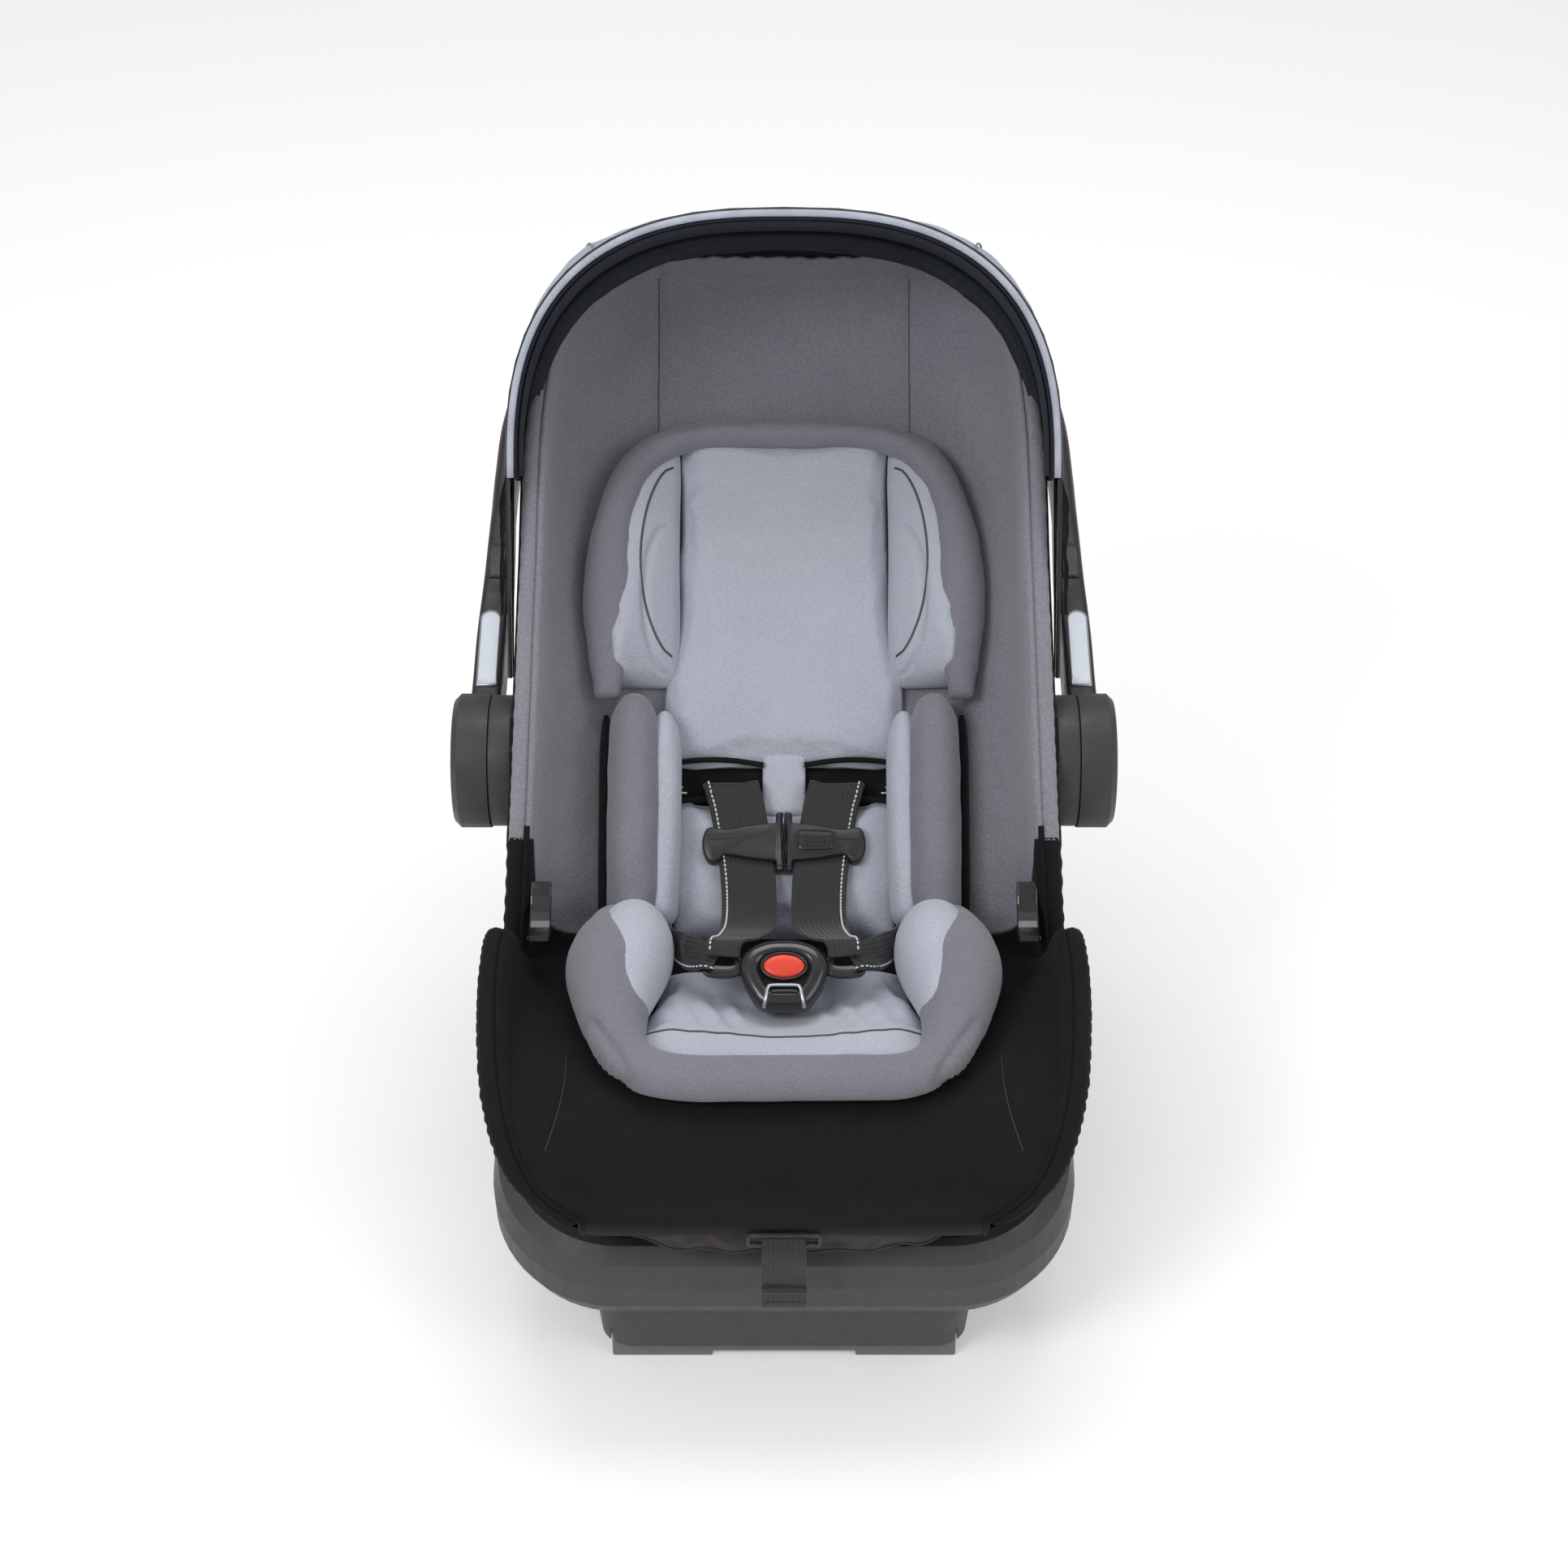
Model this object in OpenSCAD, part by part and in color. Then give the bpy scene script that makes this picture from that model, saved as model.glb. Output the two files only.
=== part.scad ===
// Rear-facing infant car seat: a padded carrier with a carry handle and a
// folding canopy, latched on a vehicle base.
// +X is towards the sitter's left hand, +Y runs from the foot end to the head
// end, +Z is up. The origin is on the floor, under the middle of the box. The
// carrier is laid out from the handle's axis, in what is called the hub frame.

/* [Overall] */
// Width over both handle hubs
overall_w = 440; // [436:1:450]
// Height of the handle axis above the floor
hub_z = 300; // [296:1:306]
// Place of the handle axis along the seat, which centres the box on the origin
hub_y = -44.4; // [-60:0.1:-20]

/* [Handle] */
// Lean of the carry handle at rest, back from upright
handle_lean = 72; // [68:1:74]
// Radius of the handle hubs
hub_r = 45; // [42:0.5:46]
// Reach of the handle's grip from its axis
grip_reach = 425; // [415:1:430]

/* [Carrier] */
// Wall of the moulded shell
shell_wall = 3; // [2.5:0.5:3]
// Thickness of the fabric cover
cover_wall = 3.6; // [3:0.2:4]
// Thickness of the insert's pads
pad_t = 15; // [10:1:16]
// Width of the shoulder webbing
web_w = 36; // [30:1:38]

/* [Canopy] */
// Reach of the canopy's top from the handle axis
canopy_r = 362; // [356:1:366]
// Lean of the front bow, back from upright
bow_lean = 25; // [22:1:26]
// Angle that each canopy panel covers
panel_deg = 11; // [8:1:11]

/* [Base] */
// Half the width of the base's rim
rim_w = 190; // [180:1:192]
// Slope of the rim up towards the head end
rim_slope = 0.30; // [0.24:0.01:0.32]
// Travel of the levelling foot
foot_travel = 25; // [10:1:30]

/* [Hidden] */
$fn = 48;

grey = "#6f6e78";
pale = "#a3aab8";
black = "#1d1c1d";
plastic = "#3a3b3d";
steel = "#b9bcc2";

// ---- shared functions ------------------------------------------------------
function mix(a, b, t) = a + (b - a) * t;
function unit(v) = v / norm(v);
function spline4(a, b, c, d, t) =
  0.5 * (2*b + (c - a)*t + (2*a - 5*b + 4*c - d)*t*t + (3*b - a - 3*c + d)*t*t*t);
// The smooth curve through the rows of a list, at station s from 0 to its last row.
function along(rows, s) =
  let (n = len(rows), i = min(n - 2, max(0, floor(s))), t = s - i)
  spline4(rows[max(0, i - 1)], rows[i], rows[i + 1], rows[min(n - 1, i + 2)], t);
// A smooth path through a few points, with k steps between two of them.
function smooth(points, k) =
  [for (j = [0 : (len(points) - 1) * k]) along(points, j / k)];
// A quarter superellipse: [share across, share down] at angle a from 0 to 90.
function quarter(a, n) = [pow(sin(a), 2/n), pow(max(0, cos(a)), 2/n)];
function signed(v) = v < 0 ? -1 : 1;

module hub_frame() {
  translate([0, hub_y, hub_z]) children();
}
module at_lean(lean) {
  rotate([-lean, 0, 0]) children();
}

// A closed solid through rings of equally many points, with flat ends.
module loft(rings) {
  n = len(rings[0]);
  m = len(rings);
  points = [for (ring = rings) each ring];
  sides = [for (i = [0 : m - 2], j = [0 : n - 1], h = [0, 1])
    let (k = (j + 1) % n)
    h == 0 ? [i*n + j, i*n + k, (i + 1)*n + k] : [i*n + j, (i + 1)*n + k, (i + 1)*n + j]];
  caps = [[for (j = [n - 1 : -1 : 0]) j], [for (j = [0 : n - 1]) (m - 1)*n + j]];
  polyhedron(points, concat(sides, caps), convexity = 8);
}

// A closed solid between two sheets of points with the same rows and columns.
module between(top, bottom) {
  rows = len(top);
  cols = len(top[0]);
  loft_rings = [for (i = [0 : rows - 1])
    concat(top[i], [for (j = [cols - 1 : -1 : 0]) bottom[i][j]])];
  n = 2 * cols;
  points = [for (ring = loft_rings) each ring];
  sides = [for (i = [0 : rows - 2], j = [0 : n - 1], h = [0, 1])
    let (k = (j + 1) % n)
    h == 0 ? [i*n + j, i*n + k, (i + 1)*n + k] : [i*n + j, (i + 1)*n + k, (i + 1)*n + j]];
  ends = [for (j = [0 : cols - 2], e = [0, 1], h = [0, 1])
    let (o = e * (rows - 1) * n, a = o + j, b = o + j + 1, c = o + n - 2 - j, d = o + n - 1 - j)
    e == 0 ? (h == 0 ? [a, d, b] : [b, d, c]) : (h == 0 ? [a, b, d] : [b, c, d])];
  polyhedron(points, concat(sides, ends), convexity = 8);
}

// A flat webbing along a path: w wide across the direction "across", t thick.
module webbing(path, widths, t, across = [1, 0, 0]) {
  last = len(path) - 1;
  w = is_list(widths) ? widths : [for (p = path) widths];
  loft([for (i = [0 : last])
    let (
      go = unit(path[min(last, i + 1)] - path[max(0, i - 1)]),
      side = unit(across - (across * go) * go),
      up = cross(side, go),
      a = side * w[i] / 2,
      b = up * t / 2
    )
    [path[i] - a - b, path[i] + a - b, path[i] + a + b, path[i] - a + b]]);
}

// ---- the seat's surface ----------------------------------------------------
// Rows from the front lip to the top edge: middle y, middle z, half width, rim y, rim z.
LIP = 0;
BITE = 5;
TOP = 12;
seat_rows = [
  [-303, -140, 124, -303, -138],
  [-294, -110, 156, -290, -116],
  [-250,  -91, 173, -256,  -82],
  [-180, -102, 180, -188,  -60],
  [-110, -124, 178, -134,  -46],
  [ -55, -122, 172, -100,  -84],
  [ -15,  -90, 166,  -72,   -8],
  [  60,  -22, 164,  -15,   46],
  [ 130,   45, 162,   60,  112],
  [ 205,  117, 159,  145,  192],
  [ 262,  176, 146,  217,  241],
  [ 284,  214, 126,  252,  246],
  [ 272,  240,  98,  270,  240]
];
bowl_n = 2.6;      // squareness of the seat's cross-section
function row_at(s) = along(seat_rows, s);
// The way out of the seat at a station, square to its middle line.
function way_out(s) =
  let (a = row_at(max(0, s - 0.05)), b = row_at(min(TOP, s + 0.05)), t = unit([b[0] - a[0], b[1] - a[1]]))
  [t[1], -t[0]];
// Share of an outward step that goes sideways at the rim. Near the top edge the rest goes back.
function sideways(s) = let (t = min(1, max(0, (s - 8.5) / 1.8))) 1 - 0.6 * t * t * (3 - 2 * t);
// A point of the surface lying "out" outside the visible cover, at share u across, -1 to 1.
function seat_at(s, u, out) =
  let (
    r = row_at(s),
    n = way_out(s),
    w = sideways(s),
    q = quarter(90 * min(1, abs(u)), bowl_n),
    yz = mix([r[3], r[4]] + n * out * (1 - w), [r[0], r[1]] + n * out, q[1])
  )
  [signed(u) * (r[2] + out * w) * q[0], yz[0], yz[1]];
// The same surface at a stated x.
function seat_x(s, x, out) =
  let (
    r = row_at(s),
    n = way_out(s),
    w = sideways(s),
    g = min(1, abs(x) / (r[2] + out * w)),
    keep = pow(1 - pow(g, bowl_n), 1 / bowl_n),
    yz = mix([r[3], r[4]] + n * out * (1 - w), [r[0], r[1]] + n * out, keep)
  )
  [x, yz[0], yz[1]];

shell_in = 9;                      // the shell's inner face, outside the cover's face
shell_out = shell_in + shell_wall;
hem_out = shell_out + 2;           // the cover's hem outside the shell
rim_share = 0.985;                 // the shell's rim stops just under the cover's roll

function shell_sheet(out, from, to, steps, u) =
  [for (i = [0 : steps]) let (s = mix(from, to, i / steps))
    [for (j = [-10 : 10]) seat_at(s, u * j / 10, out)]];

slot_s = 6.645;                    // station of the shoulder slots
slot_x = 37;                       // the shoulder webbing's middle, from the seat's middle
module strap_slots() {
  p = seat_x(slot_s, 0, 0);
  for (side = [-1, 1])
    translate([side * (slot_x + 12), p[1], p[2]])
      rotate([45, 0, 0])
        cube([web_w + 26, 9, 60], center = true);
  crotch_slot();
}
module crotch_slot() {
  q = seat_x(3.55, 0, 0);
  translate([0, q[1], q[2]])
    cube([web_w + 4, 7, 80], center = true);
}

module carrier_shell() {
  color(black)
    difference() {
      between(shell_sheet(shell_in, 0.12, TOP - 0.06, 32, rim_share),
              shell_sheet(shell_out, 0.12, TOP - 0.06, 32, rim_share));
      strap_slots();
      for (side = [-1, 1])
        translate([side * 170, 0, 0]) rotate([0, 90, 0]) cylinder(r = boss_r + 0.2, h = 60, center = true);
    }
}

function liner_sheet(out) =
  [for (i = [0 : 8]) [for (j = [-6 : 6]) seat_at(mix(7.4, 10.6, i / 8), 0.62 * j / 6, out)]];
module foam_liner() {
  color("white")
    between(liner_sheet(4.6), liner_sheet(8.2));
}

// The cover lines the shell, rolls over its rim and ends in a hem outside it.
hem_share = 0.90;
function cover_face(s) = concat(
  [seat_at(s, -hem_share, hem_out)],
  [seat_at(s, -1, hem_out)],
  [seat_at(s, -1, hem_out / 2) + roll_up(s, 3)],
  [for (j = [-9 : 9]) seat_at(s, j / 9, 0)],
  [seat_at(s, 1, hem_out / 2) + roll_up(s, 3)],
  [seat_at(s, 1, hem_out)],
  [seat_at(s, hem_share, hem_out)]);
function cover_back_face(s) = concat(
  [seat_at(s, -hem_share, hem_out - 1.2)],
  [seat_at(s, -1, hem_out - 1.2)],
  [seat_at(s, -1, hem_out / 2) + roll_up(s, 1.6)],
  [for (j = [-9 : 9]) seat_at(s, j / 9, cover_wall)],
  [seat_at(s, 1, hem_out / 2) + roll_up(s, 1.6)],
  [seat_at(s, 1, hem_out - 1.2)],
  [seat_at(s, hem_share, hem_out - 1.2)]);
// A step up past the rim, away from the seat's middle line.
function roll_up(s, h) =
  let (n = way_out(s))
  [0, -n[0] * h, -n[1] * h];

cover_seam_s = 5.95;               // where the grey cover meets the black one
module cover(from, to, steps) {
  difference() {
    between([for (i = [0 : steps]) cover_face(mix(from, to, i / steps))],
            [for (i = [0 : steps]) cover_back_face(mix(from, to, i / steps))]);
    strap_slots();
  }
}
module seat_cover_back() { color(grey) cover(cover_seam_s + 0.03, TOP, 20); }
module seat_cover_front() { color(black) cover(LIP, cover_seam_s - 0.03, 20); }

// The thin hem that hangs under the front lip.
skirt_drop = 24;
function lip_line(u, out) =
  [u * (134 + out), -296 - out + 42 * pow(abs(u), 4), -139];
function skirt_sheet(out) =
  [for (k = [0 : 2]) [for (j = [-10 : 10])
    lip_line(j / 10, out) + [0, 3.5 * k, -2 - skirt_drop * k / 2]]];
module cover_skirt() {
  color("#2a2627")
    difference() {
      between(skirt_sheet(2), skirt_sheet(0));
      translate([0, -296, -150])       // the way out for the adjuster strap
        cube([adjust_w + 5, 60, 26], center = true);
    }
}

// ---- insert ----------------------------------------------------------------
// A pad on the cover from station a to b, half as wide as half_a at a and half_b at b.
module pad(a, b, half_a, half_b, thick, steps = 12, clear = 1.2) {
  between(
    [for (i = [0 : steps]) let (s = mix(a, b, i / steps), w = mix(half_a, half_b, i / steps))
      [for (j = [-6 : 6]) seat_x(s, w * j / 6, -clear - thick)]],
    [for (i = [0 : steps]) let (s = mix(a, b, i / steps), w = mix(half_a, half_b, i / steps))
      [for (j = [-6 : 6]) seat_x(s, w * j / 6, -clear)]]);
}
module insert_upper_pad() { color(pale) pad(6.76, 8.82, 75, 70, pad_t); }
// A puffed wing beside the head: thin at the middle pad, thick at the pillow.
module head_wing(side) {
  steps = 10;
  function face(thick) =
    [for (i = [0 : steps]) let (e = sin(180 * i / steps))
      [for (j = [0 : 6])
        seat_x(mix(7.42, 8.45, i / steps), side * mix(76.5, 99 + 6 * e, j / 6),
          -1.4 - thick * (mix(10, 22, j / 6) + 6 * e * sin(30 * j)))]];
  color(pale)
    between(face(1), face(0));
}
module insert_lower_pad() { color(pale) pad(5.15, 6.54, 73, 73, pad_t); }
module seat_cushion() {
  color(pale)
    difference() {
      pad(2.46, 4.3, 78, 76, 17);
      translate([0, -154, -90])        // the well that the buckle comes up through
        cube([web_w + 26, 44, 90], center = true);
    }
}

// A soft roll along the seat: path of [station, x], middle height above the cover, radii.
function roll_rings(path, height, across, tall) =
  [for (i = [0 : len(path) - 1])
    let (
      last = len(path) - 1,
      p = seat_x(path[i][0], path[i][1], -height[i]),
      a = seat_x(path[max(0, i - 1)][0], path[max(0, i - 1)][1], -height[max(0, i - 1)]),
      b = seat_x(path[min(last, i + 1)][0], path[min(last, i + 1)][1], -height[min(last, i + 1)]),
      go = unit(b - a),
      n = way_out(path[i][0]),
      up0 = [0, -n[0], -n[1]],
      up = unit(up0 - (up0 * go) * go),
      side = cross(go, up)
    )
    [for (k = [0 : 11]) p + side * across[i] * cos(30 * k) + up * tall[i] * sin(30 * k)]];

module head_pillow() {
  steps = 24;
  a = [for (i = [0 : steps]) -90 + 180 * i / steps];
  path = [for (v = a) let (q = quarter(abs(v), 3.6)) [mix(7.22, 9.08, q[1]), signed(v) * 127 * q[0]]];
  color(grey)
    loft(roll_rings(path, [for (v = a) 20],
      [for (v = a) abs(v) > 84 ? 11 : mix(12.5, 16, max(0, abs(v) - 60) / 24)],
      [for (v = a) abs(v) > 84 ? 12 : 17]));
}
module insert_bolster(side) {
  path = [for (i = [0 : 8]) [mix(5.7, 7.05, i / 8), side * 98]];
  color(grey)
    loft(roll_rings(path, [for (p = path) 31],
      [for (i = [0 : 8]) i % 8 == 0 ? 17 : 23],
      [for (i = [0 : 8]) i % 8 == 0 ? 20 : 28]));
}
// The horseshoe bolster round the seat: two ears joined by a roll along the front.
ear_x = 112;
module seat_bolster() {
  steps = 28;
  path = [for (i = [0 : steps]) let (v = -90 + 180 * i / steps, q = quarter(abs(v), 5))
    [mix(5.0, 2.08, q[1]), signed(v) * ear_x * q[0]]];
  tall = [for (p = path) let (t = min(1, max(0, (p[0] - 2.08) / 1.9))) mix(17, 38, t*t*(3 - 2*t))];
  color(grey)
    loft(roll_rings(path, [for (i = [0 : steps]) tall[i] + 4],
      [for (i = [0 : steps]) i == 0 || i == steps ? 19 : mix(17, 28, (tall[i] - 17) / 21)],
      [for (i = [0 : steps]) i == 0 || i == steps ? tall[i] * 0.6 : tall[i]]));
}

// ---- harness ---------------------------------------------------------------
web_t = 1.8;
clip_at = [0, -16, -57];           // middle of the chest clip
clip_tilt = 37.9;                  // its face, back from level
buckle_at = [0, -148, -66];        // middle of the buckle
buckle_tilt = 30;
module shoulder_strap(side) {
  slot = seat_x(slot_s, 0, 0);
  path = smooth([
    [side * 30, 2, -128], [side * 34, 30, -104], [side * slot_x, slot[1] + 22, slot[2] - 22],
    [side * slot_x, slot[1], slot[2]], [side * 36, slot[1] - 13, slot[2] + 13],
    [side * 33, 8, -39], [side * 29, -8, -51], [side * 25.5, -26, -65], [side * 23.5, -50, -76],
    [side * 24, -84, -75], [side * 30, -112, -63], [side * 38, -130, -53], [side * 39.5, -139, -58]], 3);
  last = len(path) - 1;
  color(black)
    webbing(path, [for (i = [0 : last]) mix(web_w, 21, max(0, min(1, (i - last + 9) / 6)))], web_t);
}
module hip_strap(side) {
  color(black)
    webbing(smooth([[side * 80, -78, -88], [side * 72, -96, -82],
      [side * 66, -116, -75], [side * 58, -132, -68]], 3), web_w * 0.7, web_t, [0, 1, 0.2]);
}
module crotch_strap() {
  foot = seat_x(3.55, 0, 0);
  color(black)
    webbing(smooth([[0, foot[1], foot[2] - 22], [0, foot[1], foot[2] + 4],
      [0, foot[1] - 4, foot[2] + 18], [0, -160, -86]], 4), web_w - 8, web_t);
}
module buckle_frame() {
  translate(buckle_at) rotate([buckle_tilt, 0, 0]) children();
}
// Plan of the buckle: wide at the tongues' side, narrower at the strap's side.
module buckle_plan(grow) {
  offset(r = 6 + grow, $fn = 24)
    polygon([[-14, -18], [14, -18], [22, 0], [19, 12], [8, 16], [-8, 16], [-19, 12], [-22, 0]]);
}
button_hole = [13.5, 8];           // half sizes of the buckle's oval button hole
module oval(a, b) {
  resize([2 * a, 2 * b]) circle(r = a, $fn = 40);
}
module buckle_body() {
  color(black)
    buckle_frame()
      difference() {
        union() {
          translate([0, 0, -8]) linear_extrude(6) buckle_plan(0);
          translate([0, 0, -2]) linear_extrude(7) buckle_plan(-1.2);
        }
        translate([0, 4, -0.9]) linear_extrude(11) oval(button_hole[0] + 0.4, button_hole[1] + 0.4);
        for (side = [-1, 1])       // mouths for the tongues
          translate([side * 27, 8, -3.5]) cube([22, 15, 4], center = true);
        translate([0, -19, -5]) cube([28, 14, 7], center = true);
      }
}
module buckle_button() {
  color("#e23c2c")
    buckle_frame()
      translate([0, 4, 2.6]) linear_extrude(3.4) oval(button_hole[0], button_hole[1]);
}
module buckle_tongue(side) {
  color(plastic)
    buckle_frame() {
      translate([side * 24, 8, -4.8]) linear_extrude(2.6)
        translate([-6, -6]) square([13, 12]);
      difference() {
        translate([side * 40, 9, -6]) linear_extrude(5)
          offset(r = 4, $fn = 24) square([14, 16], center = true);
        translate([side * 40, 12, -8]) cube([19, 4, 12], center = true);
      }
    }
}
module clip_frame() {
  translate(clip_at) rotate([clip_tilt, 0, 0]) children();
}
clip_t = 9;
function clip_plan(inner) = [
  [inner, 21], [5, 21], [6, 14], [20, 13], [36, 9.5], [44, 9], [50, 11], [53, 6], [53, -8],
  [50, -14], [45, -14], [43, -8], [36, -9], [20, -12.5], [6, -14], [5, -21], [inner, -21]];
module mirrored_for(side) {
  if (side < 0) mirror([1, 0, 0]) children();
  else children();
}
module clip_half_solid(side) {
  mirrored_for(side)
    difference() {
      translate([0, 0, -clip_t / 2]) linear_extrude(clip_t) polygon(clip_plan(0.3));
      // the loop that the webbing runs through
      translate([26, 0, -0.9]) cube([45, 60, 5.3], center = true);
    }
}
clip_button_x = 21.5;
module clip_button_plan(grow) {
  square([22 + 2 * grow, 6], center = true);
  square([16, 12 + 2 * grow], center = true);
  for (x = [-8, 8]) for (y = [-3, 3]) translate([x, y]) circle(r = 3 + grow);
}
module chest_clip_left() { color(plastic) clip_frame() clip_half_solid(-1); }
module chest_clip_right() {
  color(plastic)
    clip_frame()
      difference() {
        clip_half_solid(1);
        translate([clip_button_x, 0, 1.6]) linear_extrude(6) clip_button_plan(0.35);
      }
}
module chest_clip_button() {
  color(plastic)
    clip_frame()
      translate([clip_button_x, 0, 3.2]) linear_extrude(1.9) clip_button_plan(0);
}
module harness_yoke() {
  color(steel)
    translate([0, -8, -139]) rotate([35, 0, 0])
      difference() {
        cube([92, 26, 2.5], center = true);
        for (x = [-28, 28]) translate([x, 5, 0]) cube([37.5, 5, 8], center = true);
        translate([0, -7, 0]) cube([32, 4, 8], center = true);
      }
}
adjust_w = 28;
module adjuster_strap() {
  color(black)
    webbing(smooth([[0, -26, -149], [0, -60, -151], [0, -130, -150], [0, -200, -141], [0, -268, -138],
      [0, -298, -146], [0, -309, -156], [0, -311, -178], [0, -312, -196]], 3), adjust_w, 1.6);
}
module adjuster_housing() {
  color(plastic)
    translate([0, -240, -122.5])
      difference() {
        cube([50, 30, 12], center = true);
        translate([0, 0, 4]) cube([38, 22, 10], center = true);
        translate([0, 0, -6.2]) cube([33, 22, 4], center = true);
      }
}
lever_pin = [0, -248, -121];
module adjuster_lever() {
  color(steel)
    translate(lever_pin) {
      rotate([0, 90, 0]) cylinder(r = 2, h = 36, center = true);
      translate([-15, 2.4, -1.2]) cube([30, 14, 2.4]);
      translate([-15, -1, -1.2]) cube([30, 4, 2.4]);
    }
}

// ---- carrier's hard parts --------------------------------------------------
hub_face = 196;                    // where the handle's hub meets the shell's hub
axle_r = 9;
boss_r = 17;                       // the boss of the hub housing through the shell's side
boss_in = 12;
screw_at = 27;
module hub_housing(side) {
  color(black)
    translate([side * 180.5, 0, 0]) rotate([0, side * 90, 0])
      difference() {
        union() {
          cylinder(r = hub_r - 1, h = hub_face - 180.5 - 0.3);
          translate([0, 0, -boss_in]) cylinder(r = boss_r, h = boss_in + 1);
        }
        translate([0, 0, 4]) cylinder(r = hub_r - 9, h = 30);
        cylinder(r = axle_r + 0.3, h = 60, center = true);
        for (a = [45 : 90 : 315]) rotate([0, 0, a]) translate([screw_at, 0, -3]) cylinder(r = 3.05, h = 12);
      }
}
module hub_axles() {
  color(steel)
    for (side = [-1, 1])
      translate([side * 180.9, 0, 0]) rotate([0, side * 90, 0]) {
        cylinder(r = axle_r, h = 27);
      }
}
module belt_guide(side) {
  color(plastic)
    webbing(smooth([[side * 160, -82, -40], [side * 160, -92, -52],
      [side * 160, -108, -60], [side * 160, -122, -57]], 3), 14, 4);
}
rail_x = 92;
rail_w = 16;
module rocker_rail(side) {
  top = [for (i = [0 : 24])
    let (p = seat_x(mix(1.7, 8.2, i / 24), rail_x - rail_w / 2, shell_out + 0.8)) [p[1], p[2]]];
  bottom = [for (i = [0 : 16]) let (y = mix(108, -236, i / 16)) [y, -246 + 0.0014 * pow(y + 64, 2)]];
  color(black)
    translate([side * rail_x + rail_w / 2, 0, 0]) rotate([90, 0, -90])
      difference() {
        mirror([1, 0]) linear_extrude(rail_w)
          difference() {
            polygon(concat(top, [[137, -30], [126, -110], [119, -165]], bottom));
            for (p = [[-176, -168], [-20, -182], [78, -120]])
              translate(p) circle(r = 24);
          }
        for (y = bar_y)
          mirror([1, 0, 0]) translate([y, bar_z, 0]) cylinder(r = bar_r + 0.15, h = 60, center = true);
      }
}
bar_y = [-92, 52];
bar_z = -205;
bar_r = 5;
module anchor_bars() {
  color(steel)
    for (y = bar_y) translate([0, y, bar_z]) rotate([0, 90, 0])
      cylinder(r = bar_r, h = 2 * rail_x + rail_w + 8, center = true);
}
module release_handle() {
  p = seat_x(8.4, 0, shell_out + 3);
  color(plastic)
    translate([0, p[1] + 2, p[2] - 2]) rotate([45, 0, 0]) translate([0, 0, -9])
      difference() {
        cube([96, 36, 14], center = true);
        translate([0, -2, -4]) cube([76, 22, 14], center = true);
      }
}
module shell_screws() {
  color(steel)
    for (side = [-1, 1]) translate([side * 180.5, 0, 0]) rotate([0, side * 90, 0])
      for (a = [45 : 90 : 315]) rotate([0, 0, a]) translate([screw_at, 0, 0]) {
        translate([0, 0, -1.6]) cylinder(r = 3, h = 6);
        translate([0, 0, 4.1]) cylinder(r = 5, h = 2.4);
      }
}

// ---- handle ----------------------------------------------------------------
// Outer line of the handle in its own plane: [half width, reach].
handle_line = [[212, 38], [211.5, 60], [211, 100], [209, 150], [208, 200], [207, 250],
  [204, 302], [194, 346], [171, 386], [124, 413], [66, 423], [0, 425]];
handle_t = 17;
function handle_path(k) =
  let (half = smooth([for (p = handle_line) [p[0], p[1] * grip_reach / 425]], k), n = len(half))
  concat([for (i = [0 : n - 1]) [-half[i][0], half[i][1]]], [for (i = [n - 2 : -1 : 0]) half[i]]);
// A bar along a path in the handle's plane. Its outer face lies "out" outside the path,
// and it is boxier and wider by "foot" near the hub.
module bar_in_plane(path, out, half_t, half_w, n = 3, foot = 0) {
  last = len(path) - 1;
  loft([for (i = [0 : last])
    let (
      a = path[max(0, i - 1)],
      b = path[min(last, i + 1)],
      go = unit(b - a),
      inward = [go[1], -go[0]],
      near = foot == 0 ? 0 : 1 - min(1, max(0, (norm(path[i]) - 240) / 60)),
      ht = half_t + foot * near,
      m = mix(n, 7, near),
      c = path[i] + inward * (ht - out)
    )
    [for (k = [0 : 11])
      let (v = 30 * k + 15, x = signed(cos(v)) * ht * pow(abs(cos(v)), 2 / m),
        y = signed(sin(v)) * half_w * pow(abs(sin(v)), 2 / m), p = c - inward * x)
      [p[0], y, p[1]]]]);
}
// Plan of the metal insert in each arm, along the arm.
module insert_plan(grow) {
  translate([-7.5 - grow, 50 - grow]) square([15 + 2 * grow, 60 + grow]);
  translate([0, 110]) circle(r = 7.5 + grow);
}
module handle_bar() {
  path = handle_path(3);
  color(black)
    at_lean(handle_lean)
      difference() {
        bar_in_plane(path, 0, handle_t / 2, 17, 3, 2);
        rotate([0, 90, 0]) cylinder(r = hub_r + 0.1, h = 500, center = true);
        for (side = [-1, 1])
          translate([side * 201.4, -14.6, 0]) rotate([90, 0, 0]) linear_extrude(10) insert_plan(0.15);
      }
}
module handle_grip() {
  path = [for (p = handle_path(3)) if (abs(p[0]) < 118 && p[1] > 300) p];
  color(plastic)
    at_lean(handle_lean)
      difference() {
        bar_in_plane(path, 2.4, handle_t / 2 + 2.4, 19.6);
        bar_in_plane(handle_path(3), 0.3, handle_t / 2 + 0.3, 17.3);
      }
}
module handle_insert(side) {
  color(steel)
    at_lean(handle_lean)
      translate([side * 201.4, -14.8, 0]) rotate([90, 0, 0]) linear_extrude(2.8) insert_plan(0);
}
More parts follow.
